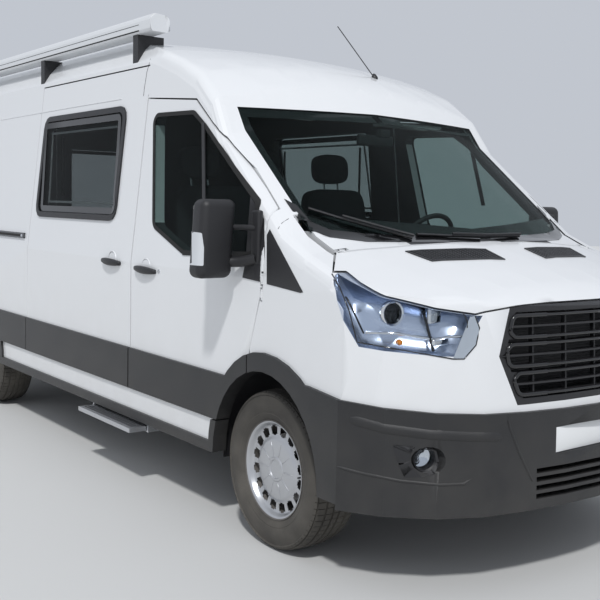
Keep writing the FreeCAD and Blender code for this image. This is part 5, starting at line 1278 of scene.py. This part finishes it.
# %% Handles
handle_tree = skin_tree("door_front_right", "door_sliding")
DISH_RING = [(-0.004, 0.052), (0.0008, 0.0490), (-0.004, 0.046)]
DISH_UP = Vector((0, 0, 0.010))
OUTWARD = (0, -1, 0)
HANDLE_BOW, HANDLE_TAPER, HANDLE_SLOPE = 0.016, 0.45, 0.004


def handle(name, x_low, x_high, z, body):
    """Bowed bar with round ends, and the ring of its dish behind it."""
    out = land(handle_tree, "right", (x_low + x_high) / 2, z)[0]
    bm = bmesh.new()
    add_block(bm, (x_low, out.y - 0.034, z - 0.020), (x_high, out.y - 0.006, z + 0.020), 0.0135, 5)
    everything = bm.verts[:] + bm.edges[:] + bm.faces[:]
    bmesh.ops.bisect_plane(bm, geom=everything, plane_co=out, plane_no=(1, 0, 0))
    bmesh.ops.subdivide_edges(bm, edges=[e for e in bm.edges if e.calc_length() > 0.05], cuts=4)
    half = (x_high - x_low) / 2
    for v in bm.verts:
        share = (v.co.x - out.x) / half
        v.co.y += HANDLE_BOW * share * share
        v.co.z = z + (v.co.z - z) * (1 - HANDLE_TAPER * share * share) - HANDLE_SLOPE * share
    made = piece(name, bm, "black_plastic", body, 50)
    ring_name = name.replace("handle", "dish")
    return made, lathe(ring_name, DISH_RING, out + DISH_UP, OUTWARD, "white_paint", body, 48)


for part in handle("handle_front_right", 0.725, 0.955, 1.170, "door_front_right"):
    pair(part)
handle("handle_sliding_right", 0.316, 0.542, 1.188, "van")

# %% Lock of the front door
LOCK = [(-0.004, 0), (-0.004, 0.011), (0.003, 0.010), (0.004, 0.008), (0.004, 0)]
lock_at = land(handle_tree, "right", 0.985, 1.172)[0]
pair(lathe("lock_right", LOCK, lock_at, OUTWARD, "satin_alloy", "door_front_right", 24))

# %% [markdown]
# ## Mirrors
# A tall black housing stands on two arms. It is a rounded block whose points are moved inward towards its
# top, so that it leans as the real one does. The arms are bars bent round to the foot on the door.

# %% Mirror housings, feet and arms
HOUSING_LOW, HOUSING_HIGH = (1.662, -1.2385, 1.197), (1.775, -1.062, 1.548)
HOUSING_LEAN = 0.024
bm = bmesh.new()
add_block(bm, HOUSING_LOW, HOUSING_HIGH, 0.036, 6)
for v in bm.verts:
    share = (v.co.z - HOUSING_LOW[2]) / (HOUSING_HIGH[2] - HOUSING_LOW[2])
    v.co.y += HOUSING_LEAN * share
housing = piece("mirror_housing_right", bm, "black_plastic", "door_front_right", 40)
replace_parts(housing, "mirror_right")
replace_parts(pair(housing), "mirror_left")
foot_box = ((1.838, -1.014, 1.264), (1.898, -0.985, 1.503))
pair(block("mirror_foot_right", [foot_box], "black_plastic", "door_front_right", 0.010, 3))
ARM_LOW = [(1.868, -1.000, 1.288), (1.800, -1.040, 1.272), (1.735, -1.075, 1.268), (1.720, -1.110, 1.268)]
ARM_HIGH = [(1.868, -1.000, 1.425), (1.800, -1.036, 1.425), (1.735, -1.060, 1.425), (1.720, -1.080, 1.425)]
pair(tube("mirror_arm_low_right", ARM_LOW, 0.024, "black_plastic", "door_front_right", 16))
pair(tube("mirror_arm_high_right", ARM_HIGH, 0.013, "black_plastic", "door_front_right", 16))

# %% [markdown]
# ## Mirror glass and indicator
# The rear face carries a flat glass with a smaller wide-angle glass below it, each in a thin rim. A clear
# indicator lens lies low on the housing's front, so it is laid on the housing's own faces.

# %% Glass on the rear face
GLASS_X, GLASS_OUT, GLASS_IN, RIM_WIDTH = HOUSING_LOW[0], -1.212, -1.082, 0.006
for name, low, high, lean in (("mirror_glass_right", 1.330, 1.512, 0.012),
                              ("wide_glass_right", 1.228, 1.312, 0.005)):
    glass_box = ((GLASS_X - 0.001, GLASS_OUT + lean, low), (GLASS_X + 0.003, GLASS_IN + lean, high))
    pair(block(name, [glass_box], "mirror_glass", "door_front_right", 0.0008, 1))
    rim_box = ((GLASS_X - 0.0005, GLASS_OUT - RIM_WIDTH + lean, low - RIM_WIDTH),
               (GLASS_X + 0.003, GLASS_IN + RIM_WIDTH + lean, high + RIM_WIDTH))
    pair(block(name.replace("glass", "rim"), [rim_box], "gloss_black", "door_front_right", 0.0008, 1))

# %% Indicator lens on the housing
INDICATOR_PX = [(186, 236), (191, 231.5), (202, 233), (204, 248), (203.5, 266), (190, 265), (187, 250)]
housing_faces = [list(p.vertices) for p in housing.data.polygons]
lens_tree = BVHTree.FromPolygons([v.co for v in housing.data.vertices], housing_faces)
pair(laid("indicator_right", "photo", [rounded(INDICATOR_PX, 1.5, 3)], lens_tree, "white_lens",
          "door_front_right", 3, 0.0004, 0.0012))

# %% [markdown]
# ## Seams and creases of the side
# The joint of the roof cap, the joint at the pillar and the crease along the upper wall are thin lines on
# the real van. They could be cut into the panels, but a fine bar half sunk in the skin reads the same.

# %% Seams and creases
SEAMS = [
    ("cap_seam_right", [(150.5, 59), (147, 72), (144.5, 88), (143.6, 96)], 0.0016, "seal_rubber"),
    ("pillar_seam_right", [(278, 229), (282, 223), (288, 219), (295, 217)], 0.0014, "seal_rubber"),
    ("upper_crease_right", [(1, 120), (40, 113), (80, 106), (122, 99)], 0.0035, "white_paint"),
]
seam_tree = skin_tree("roof_front", "body_right", "roof", "wing_right", "door_sliding", "cowl")
for name, line, radius, finish in SEAMS:
    pair(tube(name, on_skin(seam_tree, "photo", line, 0.0, 4), radius, finish, "van", 8))

# %% [markdown]
# ## Camper window
# The window in the sliding door is a hinged acrylic pane in a thick black frame, with a second thin frame
# seen through it. The pane's rounded outline, moved inward by different widths, draws all of them.

# %% Acrylic window
camper_tree = skin_tree("camper_windows", "window_frames", "door_sliding", "body_right")
PANE = [(-0.771, 2.026), (0.369, 2.025), (0.423, 1.448), (-0.698, 1.448)]
STAY_X, STAY_HALF = (-0.60, 0.30), 0.006
pane = rounded(PANE, 0.05, 6)
pair(laid("camper_border_right", "right", band(inset(pane, 0.004), inset(pane, 0.040)), camper_tree,
          "gloss_black", "van", 0.3, 0.0006, 0.002))
pair(laid("camper_inner_frame_right", "right", band(inset(pane, 0.062), inset(pane, 0.075)), camper_tree,
          "case_paint", "van", 0.3, -0.030, 0.006))
stays = [((x - STAY_HALF, -0.885, 1.55), (x + STAY_HALF, -0.873, 1.93)) for x in STAY_X]
pair(block("camper_stays_right", stays, "black_plastic", "van", 0.002))

# %% [markdown]
# ## Slide rail
# The sliding door runs in a black rail behind it, with a groove along its middle and a bright end. Three
# thin sheets laid on the side show them.

# %% Rail of the sliding door
RAIL_REAR, RAIL_FRONT, RAIL_FOOT, RAIL_HEAD, RAIL_LIP = -2.42, -0.934, 1.262, 1.298, 0.010
side_tree = skin_tree("body_right", "door_sliding", "side_trim")
rail = rectangle((RAIL_REAR, RAIL_FOOT), (RAIL_FRONT, RAIL_HEAD))
laid("slide_rail", "right", [rail], side_tree, "gloss_black", "van", 0.1, 0.0004, 0.0015)
groove_foot, groove_head = RAIL_FOOT + RAIL_LIP, RAIL_HEAD - RAIL_LIP
groove = rectangle((RAIL_REAR + 0.01, groove_foot), (RAIL_FRONT - 0.06, groove_head))
laid("slide_groove", "right", [groove], side_tree, "seal_rubber", "van", 0.1, 0.0018, 0.001)
rail_end = rectangle((RAIL_FRONT - 0.05, groove_foot), (RAIL_FRONT + 0.008, groove_head))
laid("rail_end", "right", [rounded(rail_end, 0.006, 4)], side_tree, "chrome", "van", 0.1, 0.0018, 0.003)

# %% [markdown]
# ## Awning
# The awning is a long pale case that holds its rolled cloth. A dark seam runs along its front, a lip
# below lets the cloth out, and a cap closes each end. These are thin strips laid on the case.

# %% Seam, lip and end caps
CASE_REAR, CASE_FRONT, STRIP_T, CAP_W = -2.60, 0.515, 0.0006, 0.004
awning_tree = skin_tree("awning")
seam = rectangle((CASE_REAR, 2.497), (CASE_FRONT, 2.500))
laid("awning_seam", "right", [seam], awning_tree, "black_plastic", "van", 0.4, 0.0002, STRIP_T)
lip = rectangle((CASE_REAR, 2.463), (CASE_FRONT, 2.470))
laid("awning_lip", "right", [lip], awning_tree, "seal_rubber", "van", 0.4, 0.0002, STRIP_T)
for name, start in (("awning_cap_front", CASE_FRONT), ("awning_cap_rear", CASE_REAR)):
    cap = rectangle((start, 2.456), (start + CAP_W, 2.548))
    laid(name, "right", [cap], awning_tree, "seal_rubber", "van", 0.1, 0.0002, STRIP_T)

# %% [markdown]
# ## Step
# The tread of the sliding step has black ribs against slipping. They ride on the step's own body, so that
# they slide out with it, and their number follows from the tread's depth.

# %% Step tread with its ribs
STEP_RIB_PITCH, STEP_RIB_HALF, STEP_EDGE = 0.018, 0.003, 0.03
tread_low, tread_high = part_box("step_tread")
rib_count = int((tread_high.y - tread_low.y - 2 * STEP_EDGE) / STEP_RIB_PITCH)
rib_y = [tread_low.y + STEP_EDGE + STEP_RIB_PITCH * i for i in range(rib_count)]
step_ribs = [((tread_low.x + STEP_EDGE, y - STEP_RIB_HALF, tread_high.z - 0.001),
              (tread_high.x - STEP_EDGE, y + STEP_RIB_HALF, tread_high.z + 0.003)) for y in rib_y]
block("step_ribs", step_ribs, "black_plastic", "step", 0.001, 1)
print("step ribs:", rib_count)

# %% [markdown]
# ## Tail lamps
# Lamps stand upright in the corners in four fields: red at the top, narrow amber and white ones, and red
# again. Each field is a rounded rectangle laid on the lamp's solid.

# %% Tail lamps in their fields
TAIL_OUT, TAIL_IN = -0.955, -0.872
tail_tree = skin_tree("tail_lamps")
LAMP_FIELDS = [("tail_red_high", 1.245, 1.425, "red_lens"), ("tail_amber", 1.155, 1.240, "amber_lens"),
               ("tail_white", 1.065, 1.150, "white_lens"), ("tail_red_low", 0.955, 1.060, "red_lens")]
for name, low, high, finish in LAMP_FIELDS:
    field = rounded(rectangle((TAIL_OUT, low), (TAIL_IN, high)), 0.008, 3)
    pair(laid(name + "_right", "rear", [field], tail_tree, finish, "van", 0.03, 0.0005, 0.002))

# %% [markdown]
# ## Rear doors
# The doors carry a dark border round the glass, a handle, and a blank plate in a black frame. A high
# brake lamp sits over them. All of it is drawn in the view from behind.

# %% Borders of the rear glass
rear_tree = skin_tree("rear_glass_right", "door_rear_right")
glass_low, glass_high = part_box("rear_glass_right")
outline = rounded(rectangle((glass_low.y, glass_low.z), (glass_high.y, glass_high.z)), 0.03, 5)
pair(laid("rear_border_right", "rear", band(inset(outline, 0.004), inset(outline, 0.035)), rear_tree,
          "gloss_black", "door_rear_right", 0.3, 0.0005, 0.0012))

# %% Handle, blank plate and high brake lamp
REAR_HANDLE = [(0.003, -0.06, 0), (-0.020, -0.045, 0), (-0.024, 0, 0), (-0.020, 0.045, 0),
               (0.003, 0.06, 0)]
doors_tree = skin_tree("door_rear_right", "door_rear_left", "rear_frame", "bumper_rear")
handle_at = land(doors_tree, "rear", 0.10, 1.10)[0]
handle_line = [handle_at + Vector(point) for point in REAR_HANDLE]
tube("rear_handle", handle_line, 0.011, "black_plastic", "door_rear_left", 12)
plate_outline = rounded(rectangle((0.13, 0.86), (0.65, 0.99)), 0.012, 4)
laid("rear_plate_frame", "rear", band(inset(plate_outline, -0.008), plate_outline), doors_tree,
     "black_plastic", "door_rear_left", 0.3, 0.0004, 0.006)
laid("rear_plate", "rear", [plate_outline], doors_tree, "plate_white", "door_rear_left", 0.3, 0.0004,
     0.0015)
BRAKE_HALF, BRAKE_TALL = 0.16, 0.022
roof_rear = skin_tree("rear_frame", "roof", "body_right", "body_left")
brake_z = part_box("door_rear_left")[1].z + 0.040
brake_field = rounded(rectangle((-BRAKE_HALF, brake_z), (BRAKE_HALF, brake_z + BRAKE_TALL)), 0.008, 3)
laid("high_brake_lamp", "rear", [brake_field], roof_rear, "red_lens", "van", 0.1, 0.0005, 0.003)

# %% [markdown]
# ## Seats
# A driver's seat and a bench for two. Each has a cushion, a back and head restraints. A cushion is foam
# in a sewn cover, so its middle is crowned, its sides pull in towards the corners, and seams press
# channels in it. A subdivided block is shaped by moving its points, then subdivided once more so that it
# is round.

# %% A cushion from a subdivided block
SEAT_X, FLOOR_Z = 0.56, 0.653
EDGE_POWER, EDGE_SHARE = 6, 0.62
SEAM_DEEP, SEAM_WIDE = 0.11, 0.055


def soften(made):
    """Subdivides a padded piece once more."""
    round_off = made.modifiers.new("round_off", "SUBSURF")
    round_off.levels = 1
    round_off.render_levels = 1


def cushion(name, size, crown, channels, place, lean, corner=7):
    """Block of size (length, width, thickness) whose upper face is crowned, turned by lean about Y.

    corner is the power of its outline: 2 would be an ellipse, and a high power is nearly square.
    """
    bm = bmesh.new()
    bmesh.ops.create_cube(bm, size=1.0)
    bmesh.ops.subdivide_edges(bm, edges=bm.edges[:], cuts=11, use_grid_fill=True)
    for v in bm.verts:
        along, across, up = v.co * 2
        full = (1 - along ** EDGE_POWER) * (1 - across ** EDGE_POWER)
        v.co.z *= EDGE_SHARE + (1 - EDGE_SHARE) * full
        reach = (abs(along) ** corner + abs(across) ** corner) ** (1 / corner)
        shrink = max(abs(along), abs(across)) / reach if reach else 1
        v.co.x *= shrink
        v.co.y *= shrink
        if up > 0:
            v.co.z += crown * full * up
            for seam in channels:
                v.co.z -= SEAM_DEEP * math.exp(-((across - seam) / SEAM_WIDE) ** 2) * full
    bmesh.ops.scale(bm, vec=size, verts=bm.verts)
    bmesh.ops.rotate(bm, verts=bm.verts, matrix=Matrix.Rotation(lean, 3, "Y"))
    bmesh.ops.translate(bm, verts=bm.verts, vec=place)
    made = piece(name, bm, "seat_cloth", "van", 180)
    soften(made)
    return made


# %% Seat bases, cushions, backs and restraints
UPRIGHT = math.pi * 1.5
BACK_LEAN, REST_LEAN, CUSHION_LEAN = 0.145, 0.1, -0.035
POST_SPREAD = 0.055


def head_rest(name, number, y):
    """Head restraint on its two posts."""
    size = (0.185, 0.26, 0.10)
    rest_at = (SEAT_X - 0.038, y, FLOOR_Z + 1.106)
    cushion(name + "_rest_" + str(number), size, 0.05, (), rest_at, UPRIGHT - REST_LEAN, 3.2)
    for letter, side in (("_a", -POST_SPREAD), ("_b", POST_SPREAD)):
        post = [(SEAT_X - 0.010, y + side, FLOOR_Z + 0.94), (SEAT_X - 0.035, y + side, FLOOR_Z + 1.05)]
        tube(name + "_post_" + str(number) + letter, post, 0.006, "chrome", "van", 12)


def seat(name, middle, half, rests):
    """Seat for one or two, with a restraint at each y in rests."""
    width = half * 2 - 0.03
    seams = (-0.55, 0.55) if len(rests) == 1 else (-0.86, -0.12, 0.12, 0.86)
    seat_at = (SEAT_X + 0.345, middle, FLOOR_Z + 0.330)
    back_at = (SEAT_X + 0.040, middle, FLOOR_Z + 0.645)
    first = cushion(name + "_cushion", (0.50, width, 0.15), 0.06, seams, seat_at, CUSHION_LEAN)
    cushion(name + "_back", (0.66, width, 0.13), 0.06, seams, back_at, UPRIGHT - BACK_LEAN)
    for number, y in enumerate(rests):
        head_rest(name, number, y)
    base = ((SEAT_X + 0.14, middle - half + 0.05, FLOOR_Z + 0.002),
            (SEAT_X + 0.54, middle + half - 0.05, FLOOR_Z + 0.262))
    block(name + "_base", [base], "black_plastic", "van", 0.02, 3)
    return first


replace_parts(seat("driver_seat", 0.445, 0.25, [0.445]), "seats")
seat("bench_seat", -0.3175, 0.4075, [-0.521, -0.09])

# %% [markdown]
# ## Steering wheel
# The wheel is a round rim on three spokes round a padded boss. The rim is a small circle turned about the
# column's axis, which leans back by 30 degrees, and the spokes are bars from the boss to the rim.

# %% Rim and boss
WHEEL_AT = Vector((1.43, 0.44, 1.32))
COLUMN_LEAN = math.radians(30)
WHEEL_AXIS = Vector((-math.cos(COLUMN_LEAN), 0, math.sin(COLUMN_LEAN)))
RIM_R, GRIP_R, GRIP_SIDES = 0.19, 0.0145, 12
grip_turns = [2 * math.pi * i / GRIP_SIDES for i in range(GRIP_SIDES)]
grip = [(GRIP_R * math.sin(turn), RIM_R + GRIP_R * math.cos(turn)) for turn in grip_turns]
ring = lathe("steering_rim", grip, WHEEL_AT, WHEEL_AXIS, "dash_plastic", "steering_wheel", 72, 60)
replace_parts(ring, "steering_wheel")
BOSS = [(-0.045, 0), (-0.045, 0.040), (-0.012, 0.075), (0.004, 0.072), (0.010, 0.050), (0.012, 0)]
lathe("steering_boss", BOSS, WHEEL_AT, WHEEL_AXIS, "dash_plastic", "steering_wheel", 40, 50)

# %% Spokes and column
LEFTWARD = Vector((0, 1, 0))
upward = LEFTWARD.cross(WHEEL_AXIS).normalized()
for name, turn in (("left", 0), ("right", 180), ("low", 270)):
    way = LEFTWARD * math.cos(math.radians(turn)) + upward * math.sin(math.radians(turn))
    spoke = [WHEEL_AT + way * radius for radius in (0.05, 0.12, RIM_R)]
    tube("steering_spoke_" + name, spoke, 0.014, "dash_plastic", "steering_wheel", 12)
COLUMN = [(-0.36, 0), (-0.36, 0.034), (-0.06, 0.040), (-0.055, 0.030), (-0.055, 0)]
lathe("steering_column", COLUMN, WHEEL_AT, WHEEL_AXIS, "dash_plastic", "van", 32)

# %% [markdown]
# ## Dashboard
# The dashboard is one moulded form with a hood over the dials, vents, a screen and a shelf. The solid
# gives its body, and rounded blocks set on its face give the fittings that show through the windscreen.

# %% Dashboard fittings
VENT_Y = (-0.78, -0.20, 0.20, 0.78)
dash_vents = [((1.742, y - 0.055, 1.252), (1.775, y + 0.055, 1.300)) for y in VENT_Y]
KNOB = [(-0.09, 0), (-0.09, 0.008), (0.0, 0.009), (0.012, 0.020), (0.035, 0.024), (0.05, 0.016),
        (0.055, 0)]
block("dial_hood", [((1.775, 0.28, 1.335), (2.02, 0.60, 1.405))], "dash_plastic", "van", 0.025, 4)
block("centre_screen", [((1.752, -0.11, 1.262), (1.79, 0.11, 1.372))], "gloss_black", "van", 0.006, 3)
block("dash_vents", dash_vents, "black_plastic", "van", 0.006, 3)
block("glove_lid", [((1.742, -0.72, 1.115), (1.758, -0.32, 1.225))], "dash_plastic", "van", 0.006, 3)
block("gear_console", [((1.50, -0.10, 0.99), (1.86, 0.10, 1.13))], "dash_plastic", "van", 0.03, 4)
lathe("gear_knob", KNOB, (1.62, 0.0, 1.215), (0, 0, 1), "black_plastic", "van", 24)

# %% [markdown]
# ## Kitchen
# Kitchen unit, bed and lining show dimly through the tinted panes. The kitchen's carcass is a plain
# solid, so doors, knobs and a dark worktop are set on it as blocks.

# %% Doors, knobs and worktop
KITCHEN_REAR, KITCHEN_END, KITCHEN_Y, KITCHEN_WALL_Y, KITCHEN_TOP = -0.82, 0.38, 0.47, 0.88, 1.40
DOORS, DOOR_LEVELS, DOOR_GAP = 3, ((0.69, 1.13), (1.145, 1.37)), 0.006
door_w = (KITCHEN_END - KITCHEN_REAR) / DOORS
door_x = [KITCHEN_REAR + door_w * i for i in range(DOORS)]
kitchen_doors = [((x + DOOR_GAP, KITCHEN_Y - 0.016, foot),
                  (x + door_w - DOOR_GAP, KITCHEN_Y - 0.001, head))
                 for x in door_x for foot, head in DOOR_LEVELS]
block("kitchen_doors", kitchen_doors, "laminate", "van", 0.003)
knobs = [((x + door_w / 2 - 0.05, KITCHEN_Y - 0.028, 1.10),
          (x + door_w / 2 + 0.05, KITCHEN_Y - 0.017, 1.108)) for x in door_x]
block("kitchen_knobs", knobs, "satin_alloy", "van", 0.002)
top_box = ((KITCHEN_REAR - 0.005, KITCHEN_Y - 0.02, KITCHEN_TOP + 0.001),
           (KITCHEN_END + 0.005, KITCHEN_WALL_Y - 0.03, KITCHEN_TOP + 0.025))
block("kitchen_worktop", [top_box], "worktop", "van", 0.006, 3)

# %% [markdown]
# ## Bed
# The mattress is padded like the seats, but quilted: rows of stitches pull its upper face down along a
# few lines each way. It is shaped from a subdivided block, too.

# %% Mattress
BED_REAR, BED_FRONT, BED_HALF, BED_Z, BED_T = -2.86, -1.18, 0.86, 0.90, 0.13
QUILT_DEEP, QUILT_LINES, BED_EDGE_SHARE = 0.03, 3, 0.72
bm = bmesh.new()
bmesh.ops.create_cube(bm, size=1.0)
bmesh.ops.subdivide_edges(bm, edges=bm.edges[:], cuts=15, use_grid_fill=True)
for v in bm.verts:
    along, across, _ = v.co * 2
    full = (1 - along ** 10) * (1 - across ** 10)
    v.co.z *= BED_EDGE_SHARE + (1 - BED_EDGE_SHARE) * full
    if v.co.z > 0:
        stitches = sum(math.cos(place * QUILT_LINES * math.pi) ** 8 for place in (along, across))
        v.co.z -= QUILT_DEEP * stitches * full
bmesh.ops.scale(bm, vec=(BED_FRONT - BED_REAR - 0.06, BED_HALF * 2 - 0.06, BED_T), verts=bm.verts)
bmesh.ops.translate(bm, vec=((BED_REAR + BED_FRONT) / 2, 0, BED_Z + 0.066), verts=bm.verts)
soften(piece("mattress", bm, "bedding", "van", 180))

# %% [markdown]
# ## Light and floor
# A pale floor and soft daylight: a broad sky for the shade and a soft sun for the edges. They belong to
# the stage and not to the van.

# %% Stage
SKY, SKY_STRENGTH = (0.86, 0.91, 1.0, 1), 0.62
SUN_ENERGY, SUN_SOFT, SUN_TURN = 2.0, 4, (38, 8, 38)
FLOOR_SIZE, FLOOR_BELOW = 30, -0.0005


def stage():
    """Sky, sun and floor."""
    world = bpy.data.worlds.new("sky")
    bpy.context.scene.world = world
    world.use_nodes = True
    world.node_tree.nodes["Background"].inputs["Color"].default_value = SKY
    world.node_tree.nodes["Background"].inputs["Strength"].default_value = SKY_STRENGTH
    sun = bpy.data.lights.new("sun", "SUN")
    sun.energy = SUN_ENERGY
    sun.angle = math.radians(SUN_SOFT)
    lamp = bpy.data.objects.new("sun", sun)
    lamp.rotation_euler = [math.radians(a) for a in SUN_TURN]
    bpy.context.scene.collection.objects.link(lamp)
    bm = bmesh.new()
    bmesh.ops.create_grid(bm, x_segments=1, y_segments=1, size=FLOOR_SIZE)
    mesh = bpy.data.meshes.new("ground")
    bm.to_mesh(mesh)
    bm.free()
    ground = bpy.data.objects.new("ground", mesh)
    ground.location.z = FLOOR_BELOW
    bpy.context.scene.collection.objects.link(ground)
    mesh.materials.append(material("pale_floor", (0.62, 0.62, 0.61), 0.8))
    print("stage: one sun, a sky and a floor")


stage()
bpy.context.scene.view_settings.view_transform = "Standard"
